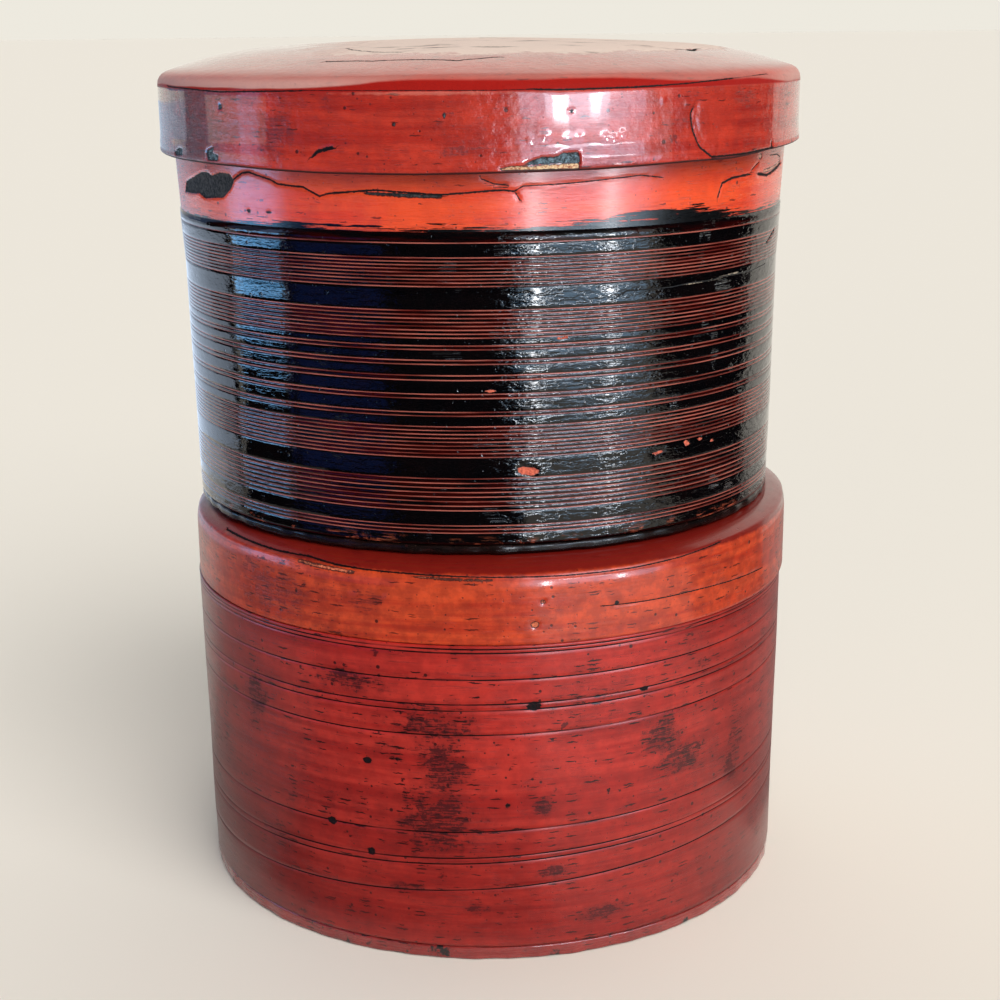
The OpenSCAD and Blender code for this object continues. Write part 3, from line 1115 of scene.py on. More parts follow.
@dataclass(frozen=True)
class LidLacquer(AgedLacquer):
    """The domed lid's lacquer: worn crown and dusty rim, both with painted sheen, a painted dark reflection
    along the rim, a painted highlight under it, painted sheen on the far left side and painted shade at the
    lower edge.
    """

    # Worn crown, painted paler still as the sheen of the bright surroundings that the top reflects
    crown: Colour = tint(232, 216, 207)
    # Painted reflection: the deep red that the rounded rim shows where it reflects dark surroundings
    rim_dark_reflection: Colour = tint(156, 14, 0)
    # Painted highlight: the pale pink line just under the rim, where its edge catches the window
    lip: Colour = tint(224, 150, 136)
    # Dust on the shoulder, made paler and pinker as painted sheen of the bright surroundings behind
    dust: Colour = tint(196, 132, 124)
    # Dust on the rim's sides together with painted sheen, where the rim turns away and reflects the pale
    # surroundings
    rim_dust_and_sheen: Colour = tint(206, 158, 152)
    # Painted shade: dark line along the lower edge, where the gap under the lid lies in shade
    edge_shade: Colour = tint(38, 8, 8)
    # Painted reflection: mottled grey-violet sheen over the far left side
    side_sheen: Colour = tint(98, 82, 94)
    stripe_height: float = 2.1
    corner_height: float = 196.0
    lip_highlight_patch: Cloud = Cloud(-8.0, 196.3, 15.0, 0.5)
    worn_rise: Point = (6.9, 7.5)
    worn_side: Point = (-44.0, -24.0)
    stripe_left: Point = (-32.0, -10.0)
    stripe_right: Point = (22.0, 40.0)
    stripe_end: Point = (48.0, 64.0)
    stripe_front: tuple[Point, Point] = ((-72.0, -54.0), (76.0, 56.0))
    pale_rim_left: Point = (-6.0, -30.0)
    pale_rim_right: Point = (52.0, 70.0)
    sheen_side: tuple[Point, Point] = ((-36.0, -60.0), (-172.0, -118.0))

    def detail(self, sheet: Surface, skin: Skin) -> Skin:
        """Adds the lid's own wear and dust, and its painted sheen, dark reflection, highlight and shade.

        Args:
            sheet: The material's surface.
            skin: What is wired so far.

        Returns:
            The skin with the change.
        """
        split = sheet.node("SeparateXYZ")
        sheet.feed(split.inputs[0], sheet.place)
        shake = sheet.centred(sheet.noise(sheet.place, 0.14, 5.0, 0.65))
        lifted = sheet.add(sheet.height, sheet.times(shake, 2.6))
        high = sheet.ramp(lifted, *(self.corner_height + rise for rise in self.worn_rise))
        side = sheet.ramp(sheet.add(split.outputs[0], sheet.times(shake, 40.0)), *self.worn_side)
        worn = sheet.times(high, side)
        stretch = sheet.vector("MULTIPLY", sheet.place, (0.035, 0.13, 0.0))
        groove = sheet.ramp(sheet.noise(stretch, 1.0, 5.0, 0.7), 0.56, 0.66)
        above = sheet.math("SUBTRACT", sheet.height, self.corner_height)
        wander = sheet.times(sheet.centred(sheet.noise(sheet.place, 0.05, 2.0, 0.5)), 3.0)
        angle = sheet.angle
        share = sheet.times(
            sheet.ramp(angle, *self.stripe_left, 0.25, 1.0),
            sheet.ramp(angle, *self.stripe_right, 1.0, 0.55),
            sheet.ramp(angle, *self.stripe_end, 1.0, 0.1),
        )
        uneven = sheet.add(above, sheet.times(wander, 0.35))
        over = sheet.math("SUBTRACT", uneven, sheet.times(share, self.stripe_height))
        # Dust with painted sheen over the shoulder above the rim
        dust_sheen_share = sheet.ramp(over, -0.2, 0.6)
        film = sheet.streaks(30.0, 3.0)
        colour = sheet.mix(sheet.times(dust_sheen_share, sheet.ramp(film, 0.2, 0.8, 0.4, 0.75)), skin.colour, self.dust)
        # Pale rim at the sides: dust together with painted sheen
        left = sheet.ramp(angle, *self.pale_rim_left)
        sides = sheet.either(left, sheet.ramp(angle, *self.pale_rim_right, 0.0, 0.8))
        pale = sheet.times(sheet.ramp(over, -0.2, 0.3), sheet.ramp(above, 3.6, 1.4), sides)
        colour = sheet.mix(sheet.times(pale, 0.85), colour, self.rim_dust_and_sheen)
        # Painted reflection: deep red band along the rim, as it looks when it reflects dark surroundings
        front = sheet.times(*(sheet.ramp(angle, *span) for span in self.stripe_front))
        rim_dark_reflection = sheet.times(sheet.ramp(above, -0.1, 0.1), sheet.ramp(over, 0.3, -0.2), front)
        colour = sheet.mix(rim_dark_reflection, colour, self.rim_dark_reflection)
        # Painted highlight along the lip under the rim
        colour = sheet.mix(sheet.times(self.patches(sheet, (self.lip_highlight_patch,)), 0.3), colour, self.lip)
        # Worn crown, its paleness partly painted sheen
        colour = sheet.mix(sheet.times(worn, 0.9), colour, self.crown)
        colour = sheet.mix(sheet.times(worn, groove, 0.75), colour, self.pit)
        # Painted reflection: mottled grey-violet sheen over the wall's far left side
        sheen_mottle = sheet.blotched(size=6.0, cover=0.7, edge=0.2, seed=5.0)
        side_sheen_share = sheet.times(*(sheet.ramp(angle, *span) for span in self.sheen_side))
        side_sheen_share = sheet.times(side_sheen_share, sheet.ramp(sheen_mottle, 0.0, 1.0, 0.3, 0.8))
        colour = sheet.mix(sheet.times(side_sheen_share, sheet.ramp(above, 0.1, -0.1)), colour, self.side_sheen)
        # Painted shade along the lower edge
        edge = sheet.ramp(sheet.attribute("above_edge"), 0.65, 0.35)
        lip = sheet.ramp(sheet.attribute("above_edge"), 1.8, 1.0)
        colour = sheet.mix(sheet.times(edge, 0.92), colour, self.edge_shade)
        bend = sheet.times(sheet.ramp(above, -0.4, 0.1), sheet.ramp(above, 5.0, 1.8), 0.9)
        dents = sheet.noise(sheet.place, 0.4, 3.0, 0.55)
        height = sheet.add(skin.height, sheet.times(worn, -0.3), sheet.times(dents, 0.9))
        dull = sheet.add(sheet.times(edge, 0.4), sheet.times(bend, 0.3), sheet.times(rim_dark_reflection, 0.5))
        rough = sheet.add(skin.rough, sheet.times(worn, 0.4), dull)
        uncoated = sheet.either(edge, worn, bend, sheet.times(lip, 0.85))
        coat = sheet.times(sheet.rest(uncoated), skin.coat)
        return Skin(colour, rough, coat, height)


@dataclass(frozen=True)
class CollarLacquer(AgedLacquer):
    """The orange collar, with the brushed edge of the black lacquer along its foot and painted shade under the
    lid.
    """

    black: Colour = tint(6, 6, 8)
    # Painted shade of the lid over the top of the collar
    painted_shade: Colour = tint(112, 26, 20)
    lid_edge: float = 181.0
    lid_shade: Point = (-5.0, 2.0)

    def detail(self, sheet: Surface, skin: Skin) -> Skin:
        """Brushes the black over the foot of the collar and paints the lid's shade below its edge.

        Args:
            sheet: The material's surface.
            skin: What is wired so far.

        Returns:
            The skin with the change.
        """
        above = sheet.attribute("above_edge")
        hairs = sheet.streaks(18.0, 0.46)
        tufts = sheet.streaks(5.0, 1.6)
        brushed = sheet.times(sheet.centred(hairs), 8.0)
        lifted = sheet.add(above, brushed, sheet.times(sheet.centred(tufts), 4.0))
        over = sheet.ramp(lifted, 0.25, -0.1)
        smear = sheet.times(sheet.ramp(above, 4.5, 0.0), sheet.ramp(hairs, 0.46, 0.66), 0.6)
        level = sheet.add(sheet.height, sheet.times(tufts, 3.0))
        # Painted shade: darker just under the lid's edge
        shade = sheet.ramp(level, *(self.lid_edge + rise for rise in self.lid_shade))
        colour = sheet.mix(sheet.times(shade, 0.55), skin.colour, self.painted_shade)
        colour = sheet.mix(smear, colour, self.stain)
        colour = sheet.mix(over, colour, self.black)
        height = sheet.add(skin.height, sheet.times(over, 0.15), sheet.times(tufts, 0.4))
        return Skin(colour, skin.rough, skin.coat, height)


@dataclass(frozen=True)
class BlackLacquer(AgedLacquer):
    """Black lacquer with fine lines cut through it to the red below."""

    line: Colour = tint(176, 98, 88)
    line_deep: Colour = tint(94, 27, 22)
    rubbed: Colour = tint(44, 4, 3)
    lump: float = 0.1
    foot_height: float = 96.0
    foot_wear: Point = (5.0, 2.0)
    foot_bare: Colour = tint(96, 60, 42)
    calm_side: Point = (-38.0, -18.0)

    def detail(self, sheet: Surface, skin: Skin) -> Skin:
        """Draws the cut lines, the rubbed ground between them and the worn foot.

        Args:
            sheet: The material's surface.
            skin: What is wired so far.

        Returns:
            The skin with the change.
        """
        cut = sheet.ramp(sheet.attribute("cut"), 0.08, 0.35)
        group = sheet.attribute("line_group")
        along = sheet.streaks(22.0, 1.1)
        tone = sheet.ramp(along, 0.32, 0.66)
        rub = sheet.streaks(18.0, 1.6)
        colour = sheet.mix(sheet.times(group, sheet.ramp(rub, 0.42, 0.62)), skin.colour, self.rubbed)
        drawn = sheet.times(cut, sheet.ramp(along, 0.2, 0.34))
        colour = sheet.mix(drawn, colour, sheet.mix(tone, self.line_deep, self.line))
        low = sheet.ramp(sheet.height, *(self.foot_height + rise for rise in self.foot_wear))
        scuff = sheet.blotched(size=7.0, cover=0.42, edge=0.05, seed=11.0)
        dry = sheet.streaks(7.0, 0.6)
        worn = sheet.times(low, scuff, sheet.ramp(dry, 0.46, 0.56))
        colour = sheet.mix(worn, colour, sheet.mix(tone, self.foot_bare, self.under))
        rough = sheet.add(skin.rough, sheet.times(cut, 0.2), sheet.times(worn, 0.3))
        lumps = sheet.ramp(sheet.streaks(3.2, 1.1), 0.4, 0.6)
        calm = sheet.ramp(sheet.angle, *self.calm_side, 0.35, 1.0)
        return Skin(colour, rough, skin.coat, sheet.add(skin.height, sheet.times(lumps, calm, self.lump)))


@dataclass(frozen=True)
class BandLacquer(AgedLacquer):
    """The flush lid's lacquer: orange brown on its hoop, dark red on its top, darkened further as painted
    reflection and shade of the black box above.
    """

    # Dark red top, darkened further as painted reflection and shade of the black box above
    top: Colour = tint(118, 12, 16)
    corner_height: float = 93.4
    corner_blend: Point = (-0.2, 0.6)
    dull_side: Point = (-48.0, -12.0)

    def detail(self, sheet: Surface, skin: Skin) -> Skin:
        """Darkens the top, partly as painted reflection and shade of the black box above, and rings it with
        fine turning marks.

        Args:
            sheet: The material's surface.
            skin: What is wired so far.

        Returns:
            The skin with the change.
        """
        ragged = sheet.centred(sheet.noise(sheet.place, 0.5, 4.0, 0.6))
        lifted = sheet.add(sheet.height, sheet.times(ragged, 1.2))
        over = sheet.ramp(lifted, *(self.corner_height + rise for rise in self.corner_blend))
        rings = sheet.joined(sheet.times(sheet.radius, 1.6), 0.0, 0.0)
        turned = sheet.noise(rings, 1.0, 4.0, 0.7)
        top = sheet.mix(sheet.ramp(turned, 0.35, 0.7), self.top, self.stain)
        # Painted reflection and shade of the black box above, over the top's own dark red
        colour = sheet.mix(sheet.times(over, 0.92), skin.colour, top)
        height = sheet.add(skin.height, sheet.times(over, turned, 0.25))
        coat = sheet.times(sheet.ramp(sheet.angle, *self.dull_side, 0.3, 1.0), skin.coat)
        return Skin(colour, skin.rough, coat, height)


@dataclass(frozen=True)
class GroovedLacquer(AgedLacquer):
    """The red wall's lacquer, with its turned grooves darkened and painted shade towards the foot and the
    sides.
    """

    groove: Colour = tint(12, 4, 6)
    # Painted shade: darker towards the foot and on the left and right sides
    painted_shade: Colour = tint(98, 24, 24)
    foot_height: float = 3.4
    shade_rise: float = 55.0
    shade_left: Point = (-24.0, -58.0)
    shade_right: Point = (28.0, 56.0)
    groove_turn: float = -2.0
    groove_ends: Point = (56.0, 38.0)

    def detail(self, sheet: Surface, skin: Skin) -> Skin:
        """Darkens the grooves unevenly, and paints shade towards the foot and the sides.

        Args:
            sheet: The material's surface.
            skin: What is wired so far.

        Returns:
            The skin with the change.
        """
        along = sheet.streaks(26.0, 3.0)
        cut = sheet.ramp(sheet.attribute("cut"), 0.05, 0.4)
        off_middle = sheet.math("ABSOLUTE", sheet.add(sheet.angle, self.groove_turn))
        ends = sheet.ramp(off_middle, *self.groove_ends, 0.45, 1.0)
        groove_dark = sheet.times(cut, sheet.ramp(along, 0.3, 0.5, 0.35, 1.0), ends)
        # Painted shade towards the foot and on both sides
        low = sheet.ramp(sheet.height, self.foot_height + self.shade_rise, self.foot_height)
        left = sheet.ramp(sheet.angle, *self.shade_left)
        right = sheet.ramp(sheet.angle, *self.shade_right)
        sides = sheet.add(sheet.times(left, 0.5), sheet.times(right, 0.35))
        colour = sheet.mix(sheet.add(sheet.times(low, 0.4), sides), skin.colour, self.painted_shade)
        colour = sheet.mix(groove_dark, colour, self.groove)
        coat = sheet.times(sheet.rest(groove_dark), skin.coat)
        return Skin(colour, sheet.add(skin.rough, sheet.times(groove_dark, 0.3)), coat, skin.height)


@dataclass(frozen=True)
class WornEdge(AgedLacquer):
    """A foot's edge: lacquer knocked off in flakes down to a pale or black ground."""

    flake: Colour = tint(20, 14, 14)
    flake_size: float = 6.0
    flake_cover: float = 0.4

    def detail(self, sheet: Surface, skin: Skin) -> Skin:
        """Knocks flakes off the edge.

        Args:
            sheet: The material's surface.
            skin: What is wired so far.

        Returns:
            The skin with the change.
        """
        flakes = sheet.blotched(size=self.flake_size, cover=self.flake_cover, edge=0.03, seed=7.0)
        colour = sheet.mix(flakes, skin.colour, self.flake)
        height = sheet.add(skin.height, sheet.times(flakes, -0.35))
        rough = sheet.add(skin.rough, sheet.times(flakes, 0.25))
        return Skin(colour, rough, skin.coat, height)


@dataclass(frozen=True)
class Bamboo(Finish):
    """Coiled bamboo strips, bare outside and thinly lacquered towards the inside."""

    strip: Colour = tint(196, 152, 98)
    joint: Colour = tint(110, 74, 42)
    inside: Colour = tint(92, 20, 14)
    inside_dark: Colour = tint(60, 12, 10)
    inside_radius: float = 70.0
    strip_pitch: float = 2.6
    dip: float = -10.0

    def paint(self, sheet: Surface) -> Skin:
        """Coils the strips and lacquers the inner face.

        Args:
            sheet: The material's surface.

        Returns:
            The wired skin.
        """
        fibre = sheet.streaks(30.0, 0.5)
        climb = sheet.add(sheet.height, sheet.times(sheet.angle, self.strip_pitch / 360))
        coil = sheet.math("PINGPONG", sheet.math("DIVIDE", climb, self.strip_pitch), 0.5)
        seam = sheet.ramp(coil, 0.09, 0.0)
        colour = sheet.mix(sheet.ramp(fibre, 0.3, 0.7), self.joint, self.strip)
        colour = sheet.mix(sheet.times(seam, 0.85), colour, self.joint)
        thin = sheet.times(sheet.centred(fibre), 1.2)
        inner = sheet.ramp(sheet.add(sheet.radius, thin), self.inside_radius + 0.5, self.inside_radius)
        shade = sheet.mix(sheet.ramp(fibre, 0.35, 0.65), self.inside, self.inside_dark)
        inner = sheet.either(inner, sheet.ramp(sheet.add(sheet.height, thin), self.dip + 0.3, self.dip))
        colour = sheet.mix(inner, colour, shade)
        height = sheet.add(sheet.times(fibre, 0.2), sheet.times(seam, -0.5))
        rough = sheet.ramp(inner, 0.0, 1.0, 0.62, 0.38)
        return Skin(colour, rough, sheet.times(inner, 0.25), height)


# Sub-assemblies

HOOP_LATHE = Lathe(front_steps=100, back_steps=120)
FOOT_LATHE = Lathe(front_steps=260, back_steps=140)


@dataclass
class SubAssembly:
    """Pieces that move together on one body of the frame."""

    body: ClassVar[str] = ""
    made: list[Piece] = field(default_factory=list, init=False)

    def take(self, piece: Piece, finish: Finish, slot: str, *nodes: str) -> Piece:
        """Dresses a new piece, seats it on the body and lets it stand for its nodes.

        Args:
            piece: The new piece.
            finish: Its finish.
            slot: Not used.
            nodes: Nodes of the frame that it stands for.

        Returns:
            The piece.
        """
        piece.data.materials.append(finish.material())
        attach(piece, self.body)
        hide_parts(*nodes)
        self.made.append(piece)
        log.info("%s: %d faces on %s", piece.name, len(piece.data.polygons), self.body)
        return piece

    def dress(self, node: str, finish: Finish) -> None:
        """Gives a node of the frame that stays in view its finish.

        Args:
            node: The node's name.
            finish: Its finish.
        """
        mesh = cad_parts[node].data
        mesh.materials.clear()
        mesh.materials.append(finish.material())
        log.info("%s: dressed on %s", node, self.body)

    def hoop(
        self, node: str, finish: Finish, slot: str, rounding: float = 0.6, disc: bool = False,
        edge: Points = (), name: str = "", lathe: Lathe = HOOP_LATHE, dents: float = 0.0, waves: Waves = (),
    ) -> Piece:
        """Turns a plain hoop or disc again with rounded edges.

        Args:
            node: The CAD node it stands for.
            finish: Its finish.
            slot: Its material slot.
            rounding: Radius of its edges.
            disc: Whether it reaches the axis.
            edge: Rise of its lower edge by angle, or nothing for a level edge.
            name: The new piece's name, where it isn't the node's.
            lathe: How finely it is turned.
            dents: Depth of the dents that it was knocked with.
            waves: Count round the axis, length upwards and phase of each run of dents.

        Returns:
            The turned piece.
        """
        ring = Ring.of(node)
        if disc:
            ring = replace(ring, inner=0.0)
        piece = lathe.turn(name or f"{node}_turned", rounded_ring(ring, rounding), ring.axis)
        weather = Weather(piece, ring.axis)
        if waves:
            weather.ripple(dents, waves)
        if edge:
            weather.warp_edge(edge, ring.high)
        weather.apply()
        return self.take(piece, finish, slot, node)

    def build(self) -> None:
        """Builds and dresses every piece."""
        raise NotImplementedError


# Radius past every piece, for wood that is lacquered all over
ALL_OVER = 200.0
# Slow waves of a hand-turned wall: count round the axis, length upwards, and phase
WALL_WAVES = ((3, 61.0, 0.4), (5, 37.0, 1.9), (8, 83.0, 3.1), (13, 29.0, 5.2))


@dataclass
class UpperBox(SubAssembly):
    """The black box: lined black coat, orange collar, foot and core."""

    body: ClassVar[str] = "upper_box"
    line_half: float = 0.13
    line_depth: float = 0.12
    row_pitch: float = 0.7
    collar_pitch: float = 0.4
    coat_t: float = 0.35
    under_t: float = 0.5
    brow: float = 0.12
    brow_drop: float = 0.9
    collar_foot: float = 2.6
    flare: float = 1.0
    flare_height: float = 26.0
    brow_height: float = 1.5
    mouth_drop: float = 0.4
    mouth_cut: float = 0.3
    group_margin: float = 0.1
    ripple: float = 0.16
    collar_ripple: float = 0.06
    foot_round: float = 0.9
    foot_dents: float = 0.5
    foot_waves: Waves = ((23, 40.0, 0.3), (41, 30.0, 1.2), (67, 20.0, 2.2))
    black_edge: Points = (
        (-180.0, 168.2), (-57.0, 167.6), (-36.0, 168.5), (-13.0, 167.8), (0.0, 168.4), (13.0, 168.4),
        (20.0, 169.3), (30.0, 170.2), (41.0, 170.3), (49.0, 168.6), (57.0, 167.7), (67.0, 168.2),
        (180.0, 168.2),
    )
    groups: tuple[tuple[float, int, float], ...] = (
        (5.25, 3, 0.84), (10.4, 8, 1.04), (22.5, 9, 0.86), (31.75, 2, 0.84),
        (35.65, 2, 0.92), (39.65, 2, 1.04), (43.15, 2, 0.87), (46.35, 2, 0.84),
        (48.9, 8, 0.85), (60.0, 9, 0.77), (69.3, 2, 0.87),
    )
    black_marks: tuple[Mark, ...] = (
        Crack(
            (
                (22.6, 152.0), (25.4, 153.7), (34.8, 153.6), (38.9, 154.0), (44.7, 153.9), (47.6, 154.3),
                (58.5, 154.2), (65.4, 154.6),
            ),
            width=0.2,
            depth=0.06,
            lift=0.05,
        ),
        Crack(((70.7, 161.8), (65.5, 159.5)), width=0.5),
        Chip(
            ((5.5, 115.5), (6.7, 116.2), (8.9, 115.8), (10.0, 114.8), (8.6, 114.0), (6.7, 114.4)),
            Ground.UNDER, 0.25,
        ),
        Chip(((38.4, 118.2), (39.6, 118.0), (40.4, 116.9), (39.3, 116.6)), Ground.UNDER, 0.2),
        Chip(((31.2, 116.4), (33.9, 117.0), (34.3, 116.5), (32.0, 115.9)), Ground.UNDER, 0.2),
        Chip(((12.6, 144.5), (14.8, 144.8), (14.6, 144.2), (12.8, 144.1)), Ground.UNDER, 0.2),
        spot(1.3, 133.3, 1.0, 0.35, Ground.UNDER),
        spot(42.9, 117.6, 0.8, 0.4, Ground.UNDER),
        spot(46.4, 116.6, 0.7, 0.4, Ground.UNDER),
        Chip(
            (
                (36.0, 153.6), (40.5, 154.1), (44.0, 154.3), (48.0, 154.5), (53.0, 154.7), (53.2, 154.2),
                (48.5, 153.95), (44.5, 153.8),
            ),
            depth=0.04,
        ),
    )
    collar_marks: tuple[Mark, ...] = (
        Chip(
            (
                (-69.5, 172.6), (-67.6, 175.2), (-62.5, 176.6), (-58.4, 178.0), (-55.8, 178.2),
                (-54.4, 177.5), (-51.1, 178.4), (-48.2, 178.3), (-47.2, 176.9), (-48.2, 175.2),
                (-50.9, 173.0), (-57.8, 172.2), (-60.5, 173.1), (-64.4, 172.7),
            ),
            depth=0.42,
        ),
        Crack(
            (
                (-47.1, 177.3), (-44.7, 178.8), (-42.8, 179.1), (-37.5, 177.7), (-36.0, 176.9),
                (-30.6, 176.5), (-27.5, 174.7), (-25.5, 175.4), (-17.4, 176.3), (-6.5, 175.4), (3.3, 176.3),
                (5.6, 176.0),
            ),
            width=0.4,
            depth=0.3,
        ),
        Crack(
            ((5.6, 176.0), (6.9, 177.0), (15.2, 177.4), (27.5, 178.4), (31.6, 177.7)),
            width=0.24, depth=0.2,
        ),
        Crack(((0.4, 178.6), (2.3, 177.6), (4.4, 177.3)), width=0.25),
        Crack(((5.6, 176.0), (6.5, 174.1)), width=0.25),
        Crack(((45.3, 172.3), (46.3, 175.3), (49.2, 176.2), (55.1, 176.5)), width=0.5),
        Crack(((55.8, 177.4), (58.2, 178.7)), width=0.3),
        Crack(((58.8, 176.2), (63.5, 175.5), (68.1, 176.2), (74.0, 177.2)), width=0.7, depth=0.4),
        Crack(((64.2, 180.0), (69.0, 179.8), (72.0, 179.0), (73.0, 177.6)), width=0.25, depth=0.2),
        Chip(
            ((-20.0, 175.8), (-12.0, 175.6), (-6.0, 175.2), (-6.2, 174.7), (-12.0, 174.9), (-18.5, 175.3)),
            depth=0.3,
        ),
        Chip(
            ((61.0, 177.0), (66.0, 177.2), (73.0, 178.2), (73.0, 177.5), (66.0, 176.5), (61.5, 176.3)),
            Ground.UNDER, 0.1,
        ),
        spot(58.9, 180.2, 0.7, 0.6, Ground.UNDER),
        spot(-38.5, 170.6, 0.8, 0.2),
        spot(-43.6, 170.6, 0.5, 0.4),
    )

    def build(self) -> None:
        """Builds the coats and the foot, and dresses the core."""
        self.wall = Ring.of("upper_wall")
        self.foot = Ring.of("upper_foot_hoop")
        self.black = Ring.of("upper_black_lacquer")
        self.lid_low = Ring.of("upper_lid_hoop").low
        self.mouth_r = Ring.of("upper_undercoat").outer + self.coat_t
        self.turn_black()
        self.turn_collar()
        self.turn_foot()
        inner = Bamboo("inner_red", self.wall.axis, inside_radius=ALL_OVER)
        core = Bamboo(
            "putty_core", self.wall.axis, strip=tint(70, 66, 62), joint=tint(40, 38, 38),
            inside_radius=self.wall.inner,
        )
        self.dress("upper_wall", core)
        self.dress("upper_bottom", inner)
        self.hoop("upper_tray_ledge", inner, "inner_lacquer")

    def radius_at(self, height: float) -> float:
        """Outside radius of the coats at a height: a straight taper, flared below the lid.

        Args:
            height: The height.

        Returns:
            The radius.
        """
        rise = (height - self.foot.low) / (self.wall.high - self.foot.low)
        flare = min(1.0, max(0.0, (height - self.lid_low + self.flare_height) / self.flare_height))
        return self.foot.outer + (self.mouth_r - self.flare - self.foot.outer) * rise + self.flare * flare

    def line_heights(self) -> list[float]:
        """Heights of all cut lines."""
        starts = [(self.foot.low + start, count, pitch) for start, count, pitch in self.groups]
        return [start + i * pitch for start, count, pitch in starts for i in range(count)]

    def group_spans(self) -> list[Point]:
        """Lowest and highest line of each group, a little widened."""
        starts = [(self.foot.low + start, (count - 1) * pitch) for start, count, pitch in self.groups]
        return [(low - self.group_margin, low + span + self.group_margin) for low, span in starts]

    def turn_black(self) -> None:
        """Turns the black coat with its lines as fine grooves."""
        high = self.black.high - self.brow_drop
        top = high - self.brow_height
        outline: Outline = []
        level = self.black.low
        for line in self.line_heights() + [top]:
            edge = line - self.line_half if line < top else top
            outline += [(self.radius_at(z), z) for z in rows(level, edge, self.row_pitch)]
            if line < top:
                outline.append((self.radius_at(line) - self.line_depth, line))
                level = line + self.line_half
        inset = self.coat_t + self.under_t / 2
        outline.append((self.radius_at(high) - self.brow, high))
        outline.append((self.radius_at(high) - inset, high))
        outline.append((self.radius_at(self.black.low) - inset, self.black.low))
        piece = Lathe(front_steps=360).turn("black_coat", outline, self.wall.axis)
        weather = Weather(piece, self.wall.axis)
        weather.ripple(self.ripple, WALL_WAVES)
        weather.rows_at("cut", self.line_heights())
        weather.rows_at("line_group", (), self.group_spans())
        weather.mark(self.black_marks)
        weather.apply()
        finish = BlackLacquer(
            "black_lacquer", self.wall.axis, bump=0.4, under=tint(226, 112, 84), under_dark=tint(170, 66, 46),
            base=tint(4, 4, 6), bright=tint(7, 6, 8), stain=tint(22, 7, 6), pit=tint(3, 3, 4),
            stain_cover=0.2, speck_share=0.2, scratch_share=0.2, rough_low=0.015, rough_high=0.06, coat=0.0,
            ripple=0.3, grain=0.06, grit_cover=0.2, mottle=0.1, rim_depth=0.2, putty=tint(226, 208, 186),
        )
        self.take(piece, finish, "black_lacquer", "upper_black_lacquer")

    def turn_collar(self) -> None:
        """Turns the collar with its chip and cracks."""
        low, high = self.black.high - self.collar_foot, self.wall.high
        heights = rows(low, high - self.mouth_drop, self.collar_pitch)
        outline = [(self.radius_at(z) - self.coat_t, z) for z in heights]
        outline += [(self.radius_at(high) - self.coat_t - self.mouth_cut, high)]
        outline += [(self.radius_at(high) - self.coat_t - self.under_t, high)]
        outline += [(self.radius_at(low) - self.coat_t - self.under_t, low)]
        piece = Lathe(front_steps=460).turn("collar_coat", outline, self.wall.axis)
        weather = Weather(piece, self.wall.axis)
        weather.ripple(self.collar_ripple, WALL_WAVES)
        weather.above("above_edge", self.black_edge)
        weather.mark(self.collar_marks)
        weather.apply()
        finish = CollarLacquer(
            "collar_lacquer", self.wall.axis, bump=0.3,
            base=tint(234, 66, 32), bright=tint(250, 88, 42), stain=tint(160, 50, 44), pit=tint(90, 30, 24),
            under=tint(228, 178, 162), under_dark=tint(196, 120, 104), putty=tint(84, 84, 86),
            coat=0.6, coat_rough=0.22, grain=0.2, stain_cover=0.3, stain_depth=0.5, speck_share=0.25,
            rough_low=0.26, rough_high=0.45, specular=0.35, tick_share=0.04, tick_gather=0.3, mottle=0.15,
            # Painted pools of light on the collar
            lit_patches=(Cloud(38.0, 172.5, 16.0, 6.0), Cloud(-8.0, 172.0, 16.0, 5.0)), lid_edge=self.lid_low,
        )
        self.take(piece, finish, "orange_red_lacquer", "upper_undercoat")

    def turn_foot(self) -> None:
        """Turns the foot."""
        finish = WornEdge(
            "upper_foot_edge", self.foot.axis, base=tint(8, 7, 8), bright=tint(16, 12, 12),
            stain=tint(44, 20, 16), flake=tint(132, 92, 66), flake_size=4.0, flake_cover=0.1,
            coat=0.1, specular=0.25,
        )
        self.hoop(
            "upper_foot_hoop", finish, "putty_ground", self.foot_round, name="upper_foot_edge",
            lathe=FOOT_LATHE, dents=self.foot_dents, waves=self.foot_waves,
        )


